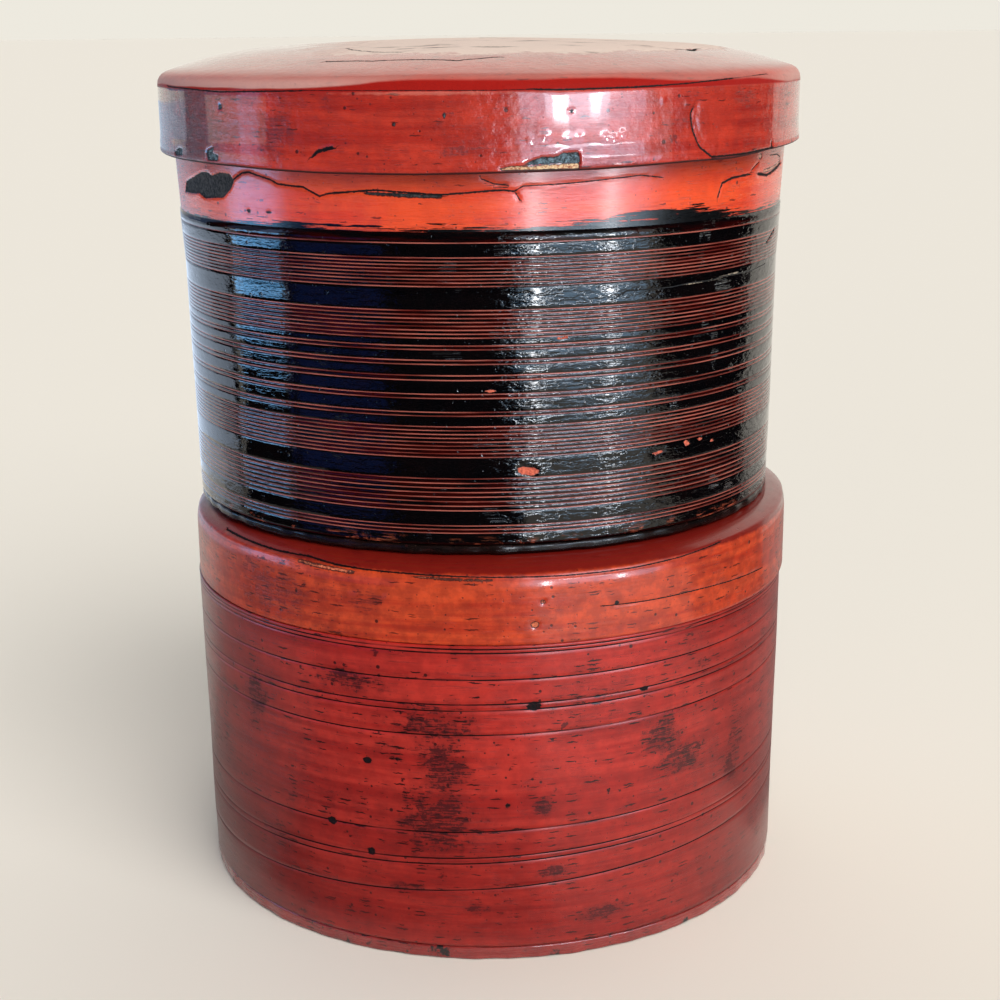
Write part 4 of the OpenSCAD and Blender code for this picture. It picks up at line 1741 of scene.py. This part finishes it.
@dataclass
class UpperLid(SubAssembly):
    """The domed lid that hangs over the black box."""

    body: ClassVar[str] = "upper_lid"
    coat_t: float = 0.8
    edge_round: float = 0.9
    rim_round: float = 3.2
    shoulder: float = 94.5
    crown_d: float = 100.0
    crown_rise: float = 1.6
    crease_drop: float = 0.27
    edge_warp: Points = (
        (-180.0, 0.0), (-75.0, 0.1), (-64.0, -0.15), (-43.0, -0.5), (-26.0, -1.15), (-10.0, -1.25),
        (4.0, -0.95), (19.0, -0.7), (35.0, -0.1), (45.0, -0.05), (58.0, 0.9), (75.0, 1.5), (110.0, 0.8),
        (150.0, 0.0), (180.0, 0.0),
    )
    warp_height: float = 188.0
    waist: float = 0.18
    waist_span: Point = (2.6, 4.8)
    lip: float = 0.4
    under_edge: Points = ((0.1, 0.5), (0.3, 0.0))
    dip: float = 1.6
    ripple: float = 0.2
    row_pitch: float = 0.45
    dome_pitch: float = 1.6
    under_pitch: float = 8.0
    marks: tuple[Mark, ...] = (
        Crack(
            ((35.8, 192.0), (35.4, 191.0), (35.6, 188.8), (36.1, 186.9), (37.4, 183.9), (40.4, 181.4)),
            width=0.5, depth=0.4, lift=-0.25,
        ),
        Crack(((40.4, 181.5), (49.1, 181.7), (58.1, 182.2), (57.6, 183.3)), width=0.5, depth=0.4),
        Crack(
            ((-66.0, 197.0), (-58.0, 196.8), (-46.0, 196.3), (-36.3, 196.6), (-28.7, 196.8)),
            width=0.3, depth=0.2,
        ),
        Crack(((-28.7, 196.9), (-12.0, 196.9), (2.0, 196.8), (8.6, 196.9)), width=0.14, depth=0.15),
        Crack(
            ((8.6, 196.9), (12.0, 196.7), (17.0, 196.8), (24.0, 196.9), (29.5, 197.1)),
            width=0.36, depth=0.25,
        ),
        Crack(((29.5, 197.1), (35.3, 197.4), (38.7, 197.7), (45.0, 198.1)), width=0.28, depth=0.2),
        Crack(((45.0, 198.1), (56.0, 198.7)), width=0.16, depth=0.15),
        Crack(((-26.6, 183.5), (-25.8, 184.4), (-23.2, 185.2)), width=0.7, depth=0.2),
        Crack(
            ((-29.0, 67.0), (-19.5, 66.7), (-13.0, 65.9), (-3.7, 67.0), (4.0, 64.4)),
            Face.TOP, width=0.55, depth=0.1,
        ),
        Crack(((-34.0, 52.0), (-30.0, 55.0), (-24.0, 57.5), (-17.0, 58.5)), Face.TOP, width=0.5, depth=0.1),
        Crack(((51.2, 60.6), (53.2, 60.6)), Face.TOP, width=1.8, depth=0.4),
        Crack(((1.5, 50.5), (6.5, 50.6)), Face.TOP, width=1.2, depth=0.1),
        Chip(
            (
                (6.6, 181.6), (8.5, 182.7), (9.8, 183.2), (11.8, 183.1), (12.8, 183.9), (15.3, 184.0),
                (15.6, 181.7), (12.4, 181.9),
            ),
            depth=0.5,
        ),
        Chip(
            (
                (3.1, 181.0), (5.4, 181.5), (7.8, 181.3), (10.1, 181.6), (15.4, 181.8), (15.5, 180.4),
                (3.5, 180.5),
            ),
            Ground.UNDER, 0.4,
        ),
        Chip(((-63.6, 182.3), (-61.5, 183.5), (-59.6, 183.3), (-59.8, 182.0), (-62.8, 181.6)), depth=0.4),
        Chip(
            ((-50.6, 183.4), (-48.5, 184.4), (-48.9, 183.1), (-47.2, 182.6), (-47.5, 181.5), (-50.5, 181.5)),
            depth=0.4,
        ),
        Chip(((-46.6, 193.7), (-45.8, 193.7), (-45.7, 192.7), (-46.5, 192.6)), depth=0.2),
        spot(-13.0, 190.1, 0.2, 0.5),
        spot(-5.2, 191.9, 0.2, 0.6),
        spot(14.2, 192.4, 0.3, 0.35),
        Blister(1.8, 188.6, 0.6, 0.09),
        Blister(7.8, 186.7, 0.65, 0.1),
        Blister(10.1, 187.4, 0.7, 0.12),
        Blister(13.7, 186.7, 0.8, 0.08),
        Blister(15.5, 187.1, 0.65, 0.1),
        Blister(19.7, 186.9, 0.7, 0.11),
        Blister(21.1, 186.6, 0.6, 0.1),
        Blister(22.6, 187.6, 0.65, 0.07),
        Blister(34.5, 193.3, 0.6, 0.2),
        Blister(29.8, 194.2, 0.5, 0.16),
    )

    def build(self) -> None:
        """Builds coat and hoop and dresses the panel."""
        coat = Ring.of("upper_lid_lacquer")
        self.turn_coat(coat)
        hoop = Ring.of("upper_lid_hoop")
        bamboo = Bamboo("lid_bamboo", hoop.axis, inside_radius=hoop.inner, dip=hoop.low + self.dip)
        self.hoop("upper_lid_hoop", bamboo, "bamboo_core", rounding=0.3, edge=self.edge_warp)
        self.dress("upper_lid_panel", Bamboo("inner_red_lid", hoop.axis, inside_radius=ALL_OVER))

    def top_section(self, coat: Ring, depth: float, pitch: float) -> Outline:
        """Section of the lid's top below its surface: rim, shoulder and crown.

        Args:
            coat: The coat's radii and heights.
            depth: Depth below the surface.
            pitch: Longest step along the section.

        Returns:
            The section, from the wall to the axis.
        """
        rim_r, edge = coat.outer - self.rim_round, self.crown_d / 2
        crown = (edge**2 + self.crown_rise**2) / (2 * self.crown_rise)
        meet = math.acos(edge / crown)
        shoulder_r = edge - self.shoulder * math.cos(meet)
        shoulder_z = coat.high - self.crown_rise - self.shoulder * math.sin(meet)
        reach = self.shoulder - self.rim_round
        bend = math.acos((rim_r - shoulder_r) / reach)
        rim_z = shoulder_z + reach * math.sin(bend)
        turns = (0.0, math.degrees(bend), math.degrees(meet), 90.0)
        centres = ((rim_r, rim_z), (shoulder_r, shoulder_z), (0.0, coat.high - crown))
        radii = (self.rim_round - depth, self.shoulder - depth, crown - depth)
        section = [(coat.outer - depth, rim_z)]
        for centre, radius, first, last in zip(centres, radii, turns, turns[1:]):
            steps = max(4, math.ceil(radius * math.radians(last - first) / pitch))
            section += arc(centre, radius, first, last, steps)[1:]
        return section[:-1] + [(0.0, coat.high - depth)]

    def turn_coat(self, coat: Ring) -> None:
        """Turns the lid's coat: rounded lower edge, hoop wall and top.

        Args:
            coat: The coat's radii and heights.
        """
        outer = coat.outer
        hoop = Ring.of("upper_lid_hoop")
        low = coat.low - self.lip
        drum = replace(coat, outer=outer - self.waist)
        top = self.top_section(drum, 0.0, self.dome_pitch)
        under = self.top_section(drum, self.coat_t, self.under_pitch)
        rim_z = top[0][1]
        outline = [(hoop.inner + across, low + rise) for across, rise in self.under_edge]
        outline += arc((outer - self.edge_round, low + self.edge_round), self.edge_round, -90, 0, 6)
        outline += [
            (outer - float(np.interp(z - low, self.waist_span, (0.0, self.waist))), z)
            for z in rows(low + self.edge_round, rim_z, self.row_pitch)[1:]
        ]
        outline += top[1:] + under[::-1]
        outline.append((outer - self.coat_t, low + self.edge_round))
        shell = Lathe(front_steps=460)
        piece = shell.turn("upper_lid_coat", outline, coat.axis)
        weather = Weather(piece, coat.axis)
        weather.ripple(self.ripple, WALL_WAVES)
        weather.warp_edge(self.edge_warp, self.warp_height)
        weather.above("above_edge", [(angle, low + rise) for angle, rise in self.edge_warp])
        weather.mark(self.marks)
        weather.apply()
        finish = LidLacquer(
            "lid_lacquer", coat.axis, bump=0.35, coat_rough=0.06, grain=0.16,
            base=tint(170, 36, 25), bright=tint(200, 58, 40), stain=tint(96, 30, 36), pit=tint(52, 20, 24),
            under=tint(238, 208, 170), putty=tint(126, 156, 178),
            stain_cover=0.4, stain_depth=0.55, rough_low=0.25, rough_high=0.45, specular=0.35, coat=1.0,
            tick_share=0.04, tick_gather=0.3, mottle=0.25,
            corner_height=rim_z - self.crease_drop,
            # Stains; the large patch at the left also paints shade on that less lit side
            clouds=(
                Cloud(-54.0, 189.0, 12.0, 12.0), Cloud(-34.0, 188.0, 6.0, 6.0), Cloud(-1.0, 184.5, 6.0, 1.6),
            ),
            # Painted pools of light on the lid
            lit_patches=(Cloud(40.0, 189.0, 6.0, 9.0), Cloud(1.0, 192.0, 8.0, 5.0), Cloud(-8.0, 183.0, 8.0, 2.0)),
        )
        self.take(piece, finish, "lid_lacquer", "upper_lid_lacquer")


@dataclass
class UpperTray(SubAssembly):
    """The lift-out tray of the black box."""

    body: ClassVar[str] = "upper_tray"
    nodes: ClassVar[tuple[str, str]] = ("upper_tray_floor", "upper_tray_wall")

    def build(self) -> None:
        """Turns the tray's floor and wall."""
        for node in self.nodes:
            ring = Ring.of(node)
            finish = AgedLacquer(
                f"{node}_lacquer", ring.axis, base=tint(150, 36, 20), bright=tint(180, 58, 30), rough_low=0.3
            )
            self.hoop(node, finish, "tray_lacquer", rounding=0.9, disc=node.endswith("floor"))


@dataclass
class LowerTray(UpperTray):
    """The lift-out tray of the red box."""

    body: ClassVar[str] = "lower_tray"
    nodes: ClassVar[tuple[str, str]] = ("lower_tray_floor", "lower_tray_wall")


@dataclass
class LowerLid(SubAssembly):
    """The flush lid of the red box, seated a little crooked."""

    body: ClassVar[str] = "lower_lid"
    coat_t: float = 0.8
    margin: float = 8.6
    margin_round: float = 14.0
    row_pitch: float = 0.45
    corner_steps: int = 14
    bend_height: float = 2.8
    bend_depth: float = 0.45
    shift: float = 0.45
    edge_cut: float = 0.3
    crease: float = 0.15
    crease_turn: float = 2.5
    top_pitch: float = 3.0
    under_pitch: float = 8.0
    ripple: float = 0.16
    warp: Points = ((-60.0, 0.0), (25.0, 0.0), (60.0, 2.0), (85.0, 2.9), (115.0, 2.6), (160.0, 0.0))
    marks: tuple[Mark, ...] = (
        Crack(
            (
                (-60.0, 94.4), (-41.8, 94.2), (-34.6, 94.4), (-28.3, 93.9), (-22.5, 93.7), (-15.3, 93.6),
                (-6.7, 93.4), (1.6, 93.2), (11.8, 92.9), (22.5, 92.9), (34.8, 92.9), (44.9, 93.4),
            ),
            width=0.28,
            depth=0.2,
        ),
        Crack(((18.9, 85.1), (28.5, 84.7), (39.8, 84.3), (59.6, 82.8)), width=0.25, depth=0.12),
        Blister(-24.5, 88.7, 0.8, -0.2),
        Blister(-18.9, 88.8, 0.8, -0.2),
        Blister(7.1, 82.1, 0.9, -0.15),
        Blister(8.5, 87.3, 0.6, -0.2),
        spot(7.1, 82.1, 0.7, 0.8, Ground.UNDER),
        spot(8.5, 87.3, 0.4, 0.5, Ground.UNDER),
        spot(21.6, 85.4, 0.4, 0.5),
        Chip(
            ((-36.0, 93.6), (-28.0, 93.3), (-24.0, 93.0), (-24.5, 92.4), (-31.0, 92.6), (-36.0, 93.0)),
            Ground.UNDER, 0.12,
        ),
        Chip(
            ((-14.0, 93.1), (-7.0, 92.9), (0.0, 92.7), (0.0, 92.4), (-8.0, 92.5), (-13.0, 92.8)),
            Ground.UNDER, 0.1,
        ),
    )

    def build(self) -> None:
        """Builds the coat and dresses hoop and panel."""
        coat = Ring.of("lower_lid_lacquer")
        self.turn_coat(coat)
        hoop = Ring.of("lower_lid_hoop")
        self.dress("lower_lid_hoop", Bamboo("lower_lid_bamboo", hoop.axis, inside_radius=hoop.inner))
        self.dress("lower_lid_panel", Bamboo("inner_red_lower_lid", hoop.axis, inside_radius=ALL_OVER))

    def turn_coat(self, coat: Ring) -> None:
        """Turns the coat: straight hoop, cracked corner, rounded margin and flat top.

        Args:
            coat: The coat's radii and heights.
        """
        low, high, outer = coat.low, coat.high, coat.outer
        centre = (outer - self.margin, high - self.margin_round)
        corner_angle = math.degrees(math.acos(self.margin / self.margin_round))
        corner = centre[1] + self.margin_round * math.sin(math.radians(corner_angle))
        bend = corner - self.bend_height
        outline = [(outer - self.edge_cut, low)]
        outline += [(outer, z) for z in rows(low + self.edge_cut, bend, self.row_pitch)]
        outline += [
            (outer - self.bend_depth * ((z - bend) / self.bend_height) ** 2, z)
            for z in rows(bend, corner - self.crease, self.row_pitch)[1:]
        ]
        outline += arc(centre, self.margin_round, corner_angle + self.crease_turn, 90, self.corner_steps)
        outline += [(r, high) for r in rows(centre[0], 0, self.top_pitch)[1:]]
        outline += [(r, high - self.coat_t) for r in rows(0, centre[0], self.under_pitch)]
        outline += [(outer - self.coat_t, corner - self.coat_t), (outer - self.coat_t, low)]
        axis = (coat.x + self.shift, coat.y)
        piece = Lathe(front_steps=420).turn("lower_lid_coat", outline, axis)
        weather = Weather(piece, axis)
        weather.ripple(self.ripple, WALL_WAVES)
        weather.mark(self.marks)
        weather.lift_rim(self.warp, centre[0], outer)
        weather.apply()
        finish = BandLacquer(
            "band_lacquer", coat.axis, bump=0.3, coat_rough=0.12, specular=0.3,
            base=tint(180, 48, 22), bright=tint(214, 76, 36), stain=tint(112, 30, 20), pit=tint(54, 16, 12),
            under=tint(228, 128, 92),
            stain_cover=0.35, speck_share=0.5, rough_low=0.3, rough_high=0.5, coat=0.6,
            tick_share=0.1, tick_gather=0.5, mottle=0.45, blot_share=0.1,
            clouds=(Cloud(-42.0, 86.0, 14.0, 9.0), Cloud(-22.0, 86.5, 5.0, 4.0)),
            # Painted pools of light on the band
            lit_patches=(Cloud(-8.0, 89.5, 12.0, 4.0), Cloud(24.0, 86.0, 18.0, 7.0), Cloud(48.0, 84.0, 14.0, 5.0)),
        )
        self.take(piece, finish, "orange_brown_lacquer", "lower_lid_lacquer")


@dataclass
class LowerBox(SubAssembly):
    """The red box: grooved coat, foot, wall, neck and bottom."""

    body: ClassVar[str] = "lower_box"
    coat_t: float = 0.8
    row_pitch: float = 0.9
    groove_half: float = 0.18
    groove_depth: float = 0.12
    ripple: float = 0.2
    foot_round: float = 0.6
    foot_dents: float = 0.35
    foot_waves: Waves = ((19, 40.0, 0.3), (37, 30.0, 1.2), (61, 20.0, 2.2))
    slopes: Points = (
        (3.4, 0.0), (18.3, 3.6), (25.0, 2.65), (32.6, 1.9), (56.2, 0.8), (63.0, 0.75), (69.3, 0.4),
        (74.5, 0.0), (77.4, 0.0),
    )
    grooves: tuple[float, ...] = (18.3, 24.8, 26.2, 32.6, 56.2, 62.0, 63.5, 69.3, 75.6, 76.5)
    marks: tuple[Mark, ...] = (
        spot(-22.5, 48.2, 0.9, 0.8),
        spot(-17.2, 49.6, 1.6, 0.4),
        spot(-30.3, 31.3, 0.9, 0.9),
        spot(-22.4, 25.5, 0.8, 0.9),
        spot(7.2, 62.8, 1.4, 1.0),
        spot(2.6, 38.9, 0.4, 0.6),
        spot(20.9, 40.3, 0.4, 0.5),
        spot(27.8, 63.6, 0.9, 0.5),
    )

    def build(self) -> None:
        """Builds the coat and the foot, and dresses the core."""
        self.foot = Ring.of("lower_foot_hoop")
        self.coat = Ring.of("lower_lacquer")
        self.turn_coat()
        self.turn_foot()
        wall = Ring.of("lower_wall")
        inner = Bamboo("inner_red_lower", wall.axis, inside_radius=ALL_OVER)
        self.dress("lower_wall", inner)
        self.dress("lower_bottom", inner)
        self.hoop("lower_neck_hoop", inner, "inner_lacquer", rounding=0.8)
        self.hoop("lower_tray_ledge", inner, "inner_lacquer")

    def radius_at(self, height: float) -> float:
        """Outside radius of the coat at a height."""
        share = (height - self.foot.low) / (self.coat.high - self.foot.low)
        return self.foot.outer + (self.coat.outer - self.foot.outer) * share

    def turn_coat(self) -> None:
        """Turns the coat with its grooves."""
        outline: Outline = []
        level, top = self.coat.low, self.coat.high
        for groove in self.grooves + (top,):
            edge = groove - self.groove_half if groove < top else top
            outline += [(self.radius_at(z), z) for z in rows(level, edge, self.row_pitch)]
            if groove < top:
                outline.append((self.radius_at(groove) - self.groove_depth, groove))
                level = groove + self.groove_half
        outline.append((self.radius_at(top) - self.coat_t, top))
        outline.append((self.radius_at(self.coat.low) - self.coat_t, self.coat.low))
        piece = Lathe(front_steps=380).turn("red_wall_coat", outline, self.coat.axis)
        weather = Weather(piece, self.coat.axis)
        weather.ripple(self.ripple, WALL_WAVES)
        weather.rows_at("cut", self.grooves)
        weather.lean(self.slopes)
        weather.mark(self.marks)
        weather.apply()
        finish = GroovedLacquer(
            "red_wall_lacquer", self.coat.axis, bump=0.3, coat_rough=0.28, specular=0.15,
            base=tint(162, 28, 22), bright=tint(192, 48, 38), stain=tint(66, 8, 14), pit=tint(24, 6, 10),
            putty=tint(44, 16, 18),
            stain_size=16.0, stain_cover=0.3, stain_depth=0.85, speck_share=0.5, scratch_share=0.6, coat=0.5,
            rough_low=0.34, rough_high=0.6, grit_cover=0.52, tick_share=0.14, tick_gather=0.9,
            tick_depth=0.95, blot_share=0.4, mottle=0.25,
            clouds=(
                Cloud(-9.7, 57.7, 8.5, 6.0), Cloud(-8.4, 48.3, 5.8, 10.0), Cloud(-9.7, 35.2, 8.5, 11.0),
                Cloud(-26.3, 67.2, 8.0, 3.6), Cloud(32.1, 50.7, 5.0, 6.5), Cloud(36.8, 44.3, 7.5, 5.0),
                Cloud(-48.1, 56.3, 4.0, 9.0), Cloud(8.8, 38.2, 2.4, 2.8), Cloud(10.5, 22.0, 3.2, 1.8),
                Cloud(-15.4, 17.5, 4.0, 1.6), Cloud(-3.0, 13.2, 3.0, 2.0), Cloud(20.0, 10.0, 6.0, 2.4),
                Cloud(50.8, 35.4, 3.0, 6.0),
            ),
            # Painted pools of light on the red wall
            lit_patches=(Cloud(6.0, 68.0, 30.0, 7.0), Cloud(8.0, 50.0, 14.0, 9.0)),
        )
        self.take(piece, finish, "red_lacquer", "lower_lacquer")

    def turn_foot(self) -> None:
        """Turns the foot."""
        finish = WornEdge(
            "lower_foot_edge", self.foot.axis, base=tint(136, 36, 34), bright=tint(156, 56, 54),
            flake_cover=0.26,
        )
        self.hoop(
            "lower_foot_hoop", finish, "red_lacquer", self.foot_round, name="lower_foot_edge",
            lathe=FOOT_LATHE, dents=self.foot_dents, waves=self.foot_waves,
        )


# Studio

DAYLIGHT = (0.95, 0.97, 1.0)
Spans = tuple[tuple[float, float, float], ...]
Strip = tuple[Point, tuple[Point, Point]]


def plain_paint(piece: Piece, name: str, values: dict[str, Feed]) -> None:
    """Gives a piece of the studio a plain material without gloss.

    Args:
        piece: The piece.
        name: The material's name.
        values: Values of the shader's inputs.
    """
    paint = bpy.data.materials.new(name)
    paint.use_nodes = True
    shader = paint.node_tree.nodes["Principled BSDF"]
    shader.inputs["Specular IOR Level"].default_value = 0.0
    for label, value in values.items():
        shader.inputs[label].default_value = value
    piece.data.materials.append(paint)


@dataclass(frozen=True)
class Panel:
    """An upright soft light: azimuth from the front towards the right, and sizes in metres."""

    name: str
    azimuth: float
    distance: float
    width: float
    low: float
    high: float
    colour: tuple[float, float, float]
    radiance: float

    def build(self) -> None:
        """Hangs the panel, turned towards the boxes' axis."""
        data = bpy.data.lights.new(self.name, "AREA")
        data.shape = "RECTANGLE"
        data.size, data.size_y = self.width, self.high - self.low
        data.color = self.colour
        data.energy = self.radiance * math.pi * data.size * data.size_y
        lamp = bpy.data.objects.new(self.name, data)
        turn = math.radians(self.azimuth)
        middle = (self.low + self.high) / 2
        lamp.location = (math.sin(turn) * self.distance, -math.cos(turn) * self.distance, middle)
        lamp.rotation_euler = (math.radians(90), 0, turn)
        lamp.visible_camera = lamp.visible_diffuse = False
        bpy.context.scene.collection.objects.link(lamp)


@dataclass(frozen=True)
class Studio:
    """Floor, pale surround, window panels, cards and camera."""

    floor_radius: float = 60.0
    floor_steps: int = 96
    floor_rough: float = 0.9
    floor_colour: Colour = tint(238, 236, 231)
    surround: Colour = tint(243, 239, 228)
    surround_left: Colour = tint(98, 124, 166)
    sky: float = 0.95
    sky_dark: float = 0.12
    left_share: Point = (-0.25, -0.7)
    ahead_share: Point = (0.3, 0.0)
    overhead_share: Point = (0.3, 0.55)
    key_azimuth: float = 24.0
    key_height: float = 46.0
    key_spread: float = 50.0
    key_strength: float = 2.6
    key_colour: tuple[float, float, float] = (1.0, 0.94, 0.86)
    panels: tuple[Panel, ...] = (
        Panel("left_window", -87.5, 0.50, 0.23, 0.07, 0.112, (0.16, 0.52, 1.0), 8.4),
        Panel("left_window_mid", -85.0, 0.50, 0.17, 0.112, 0.142, (0.2, 0.52, 1.0), 5.0),
        Panel("left_window_high", -79.5, 0.50, 0.08, 0.142, 0.40, (0.34, 0.56, 1.0), 1.2),
        Panel("left_dusk", -51.5, 0.42, 0.33, 0.0, 0.118, (0.07, 0.2, 1.0), 0.38),
        Panel("right_window", 36.0, 0.62, 0.58, 0.02, 0.143, (0.36, 0.66, 1.0), 4.0),
        Panel("right_window_mid", 34.5, 0.61, 0.50, 0.143, 0.160, (0.5, 0.74, 1.0), 1.4),
        Panel("right_window_high", 33.5, 0.60, 0.46, 0.160, 0.30, (0.5, 0.74, 1.0), 4.4),
        Panel("right_bar_near", 18.3, 0.58, 0.02, 0.022, 0.12, DAYLIGHT, 66.0),
        Panel("right_bar_far", 45.4, 0.58, 0.022, 0.045, 0.12, DAYLIGHT, 66.0),
        Panel("lid_glow", 31.5, 0.60, 0.22, 0.166, 0.21, (0.84, 0.87, 1.0), 8.0),
        Panel("lid_glint_near", 26.0, 0.58, 0.05, 0.166, 0.20, DAYLIGHT, 24.0),
        Panel("lid_glint_far", 37.4, 0.58, 0.03, 0.172, 0.19, DAYLIGHT, 24.0),
        Panel("lid_glint_top", 43.0, 0.58, 0.16, 0.177, 0.189, DAYLIGHT, 15.0),
    )
    card_radius: float = 0.44
    floor_card_outer: float = 1.0
    floor_card_rise: float = 0.0005
    floor_card_spans: Spans = ((-100.0, -60.0, 0.28), (-60.0, 14.0, 0.085), (72.0, 116.0, 0.28))
    shade_spans: Spans = (
        (-118.0, -100.0, 0.42), (-100.0, -60.0, 0.28), (78.0, 116.0, 0.28), (116.0, 178.0, 0.42)
    )
    shade_inner: float = 0.085
    shade_glow: Colour = tint(160, 153, 146)
    card_spans: Points = ((-104.0, -101.0), (-71.0, 9.0), (63.0, 116.0))
    high_card_span: Point = (-116.0, -104.0)
    card_height: float = 0.9
    card_colour: Colour = tint(16, 16, 22)
    card_steps: int = 24
    dark_glow: Colour = tint(0, 0, 0)
    ceiling_card_height: float = 1.1
    ceiling_card_radius: float = 0.86
    dusk_spans: tuple[Point, Point] = ((-180.0, -104.0), (-180.0, -116.0))
    dusk_heights: tuple[float, float, float] = (0.0, 0.115, 0.178)
    dusk_glow: Colour = tint(154, 167, 184)
    dusk_strengths: tuple[float, float] = (3.0, 1.6)
    lens: float = 64.21
    sensor: float = 36.0
    camera_place: tuple[float, float, float] = (0.0, -0.4466, 0.2090)
    camera_pitch: float = 14.81
    camera_yaw: float = 0.36
    camera_roll: float = -0.60

    def build(self) -> None:
        """Builds the whole studio."""
        scene = bpy.context.scene
        scene.view_settings.view_transform = "Standard"
        self.lay_floor()
        self.light()
        self.stand_cards()
        self.aim_camera()

    def lay_floor(self) -> None:
        """Lays a plain pale floor."""
        shape = bmesh.new()
        bmesh.ops.create_circle(shape, cap_ends=True, segments=self.floor_steps, radius=self.floor_radius)
        floor = finished("floor", shape)
        plain_paint(floor, "pale_floor", {"Base Color": self.floor_colour, "Roughness": self.floor_rough})

    def light(self) -> None:
        """Lights the boxes: a pale surround, upright windows and a broad soft key from above."""
        world = bpy.data.worlds.new("pale_surround")
        bpy.context.scene.world = world
        world.use_nodes = True
        sheet = Sheet(world.node_tree)
        back = world.node_tree.nodes["Background"]
        heading = sheet.node("SeparateXYZ")
        sheet.feed(heading.inputs[0], sheet.node("TexCoord").outputs["Generated"])
        left = sheet.ramp(heading.outputs[0], *self.left_share)
        sheet.feed(back.inputs["Color"], sheet.mix(left, self.surround, self.surround_left))
        ahead = sheet.ramp(heading.outputs[1], *self.ahead_share)
        overhead = sheet.ramp(heading.outputs[2], *self.overhead_share)
        dark = sheet.times(ahead, overhead)
        sheet.feed(back.inputs["Strength"], sheet.ramp(dark, 0.0, 1.0, self.sky, self.sky_dark))
        for panel in self.panels:
            panel.build()
        data = bpy.data.lights.new("key", "SUN")
        data.energy = self.key_strength
        data.angle = math.radians(self.key_spread)
        data.color = self.key_colour
        lamp = bpy.data.objects.new("key", data)
        turn, rise = math.radians(self.key_azimuth), math.radians(self.key_height)
        aim = Vector((math.cos(rise) * math.sin(turn), -math.cos(rise) * math.cos(turn), math.sin(rise)))
        lamp.rotation_euler = aim.to_track_quat("Z", "Y").to_euler()
        lamp.visible_camera = lamp.visible_glossy = False
        bpy.context.scene.collection.objects.link(lamp)

    def stand_cards(self) -> None:
        """Stands and lays curved cards round the boxes, for reflections only."""
        upright = ((self.card_radius, 0.0), (self.card_radius, self.card_height))
        roof = ((MM, self.ceiling_card_height), (self.ceiling_card_radius, self.ceiling_card_height))
        above = ((self.card_radius, self.dusk_heights[1]), (self.card_radius, self.card_height))
        dark = [(span, upright) for span in self.card_spans]
        dark += [(self.high_card_span, above), ((-180.0, 180.0), roof)]
        for start, end, inner in self.floor_card_spans:
            sides = ((inner, self.floor_card_rise), (self.floor_card_outer, self.floor_card_rise))
            dark.append(((start, end), sides))
        self.card("dark_cards", dark, self.dark_glow)
        shade = []
        for start, end, outer in self.shade_spans:
            sides = ((self.shade_inner, self.floor_card_rise), (outer, self.floor_card_rise))
            shade.append(((start, end), sides))
        self.card("shade_cards", shade, self.shade_glow)
        for i, (span, strength) in enumerate(zip(self.dusk_spans, self.dusk_strengths)):
            sides = tuple((self.card_radius, height) for height in self.dusk_heights[i : i + 2])
            self.card(f"dusk_card_{i}", [(span, sides)], self.dusk_glow, strength)

    def card(self, name: str, strips: Sequence[Strip], glow: Colour, strength: float = 1.0) -> None:
        """Spins card strips that only glossy rays see.

        Args:
            name: The card's name.
            strips: Azimuths of each strip's ends, with the radii and heights of its two edges.
            glow: Colour that the card sends out.
            strength: How strongly it sends it out.
        """
        shape = bmesh.new()
        for (start, end), sides in strips:
            turn = Matrix.Rotation(math.radians(start), 4, "Z")
            corners = [shape.verts.new(turn @ Vector((0, -r, z))) for r, z in sides]
            edge = shape.edges.new(corners)
            bmesh.ops.spin(
                shape, geom=corners + [edge], cent=(0, 0, 0), axis=(0, 0, 1),
                angle=math.radians(end - start), steps=self.card_steps,
            )
        made = finished(name, shape)
        shine = {"Emission Color": glow, "Emission Strength": strength}
        plain_paint(made, name, {"Base Color": self.card_colour, "Roughness": 1.0, **shine})
        made.visible_camera = made.visible_diffuse = made.visible_shadow = made.visible_transmission = False

    def aim_camera(self) -> None:
        """Sets the camera to the photograph's view."""
        data = bpy.data.cameras.new("camera")
        data.lens, data.sensor_width = self.lens, self.sensor
        camera = bpy.data.objects.new("camera", data)
        turns = (
            Matrix.Rotation(math.radians(-self.camera_yaw), 4, "Z")
            @ Matrix.Rotation(math.radians(90 - self.camera_pitch), 4, "X")
            @ Matrix.Rotation(math.radians(self.camera_roll), 4, "Z")
        )
        camera.matrix_world = Matrix.Translation(self.camera_place) @ turns
        bpy.context.scene.collection.objects.link(camera)
        bpy.context.scene.camera = camera


def main() -> None:
    """Builds the studio and every sub-assembly in order."""
    logging.basicConfig(level=logging.INFO, format="%(message)s")
    Studio().build()
    for assembly in (LowerBox(), LowerTray(), LowerLid(), UpperBox(), UpperTray(), UpperLid()):
        assembly.build()
        log.info("%s: %d new pieces", assembly.body, len(assembly.made))


if __name__ == "__main__":
    main()
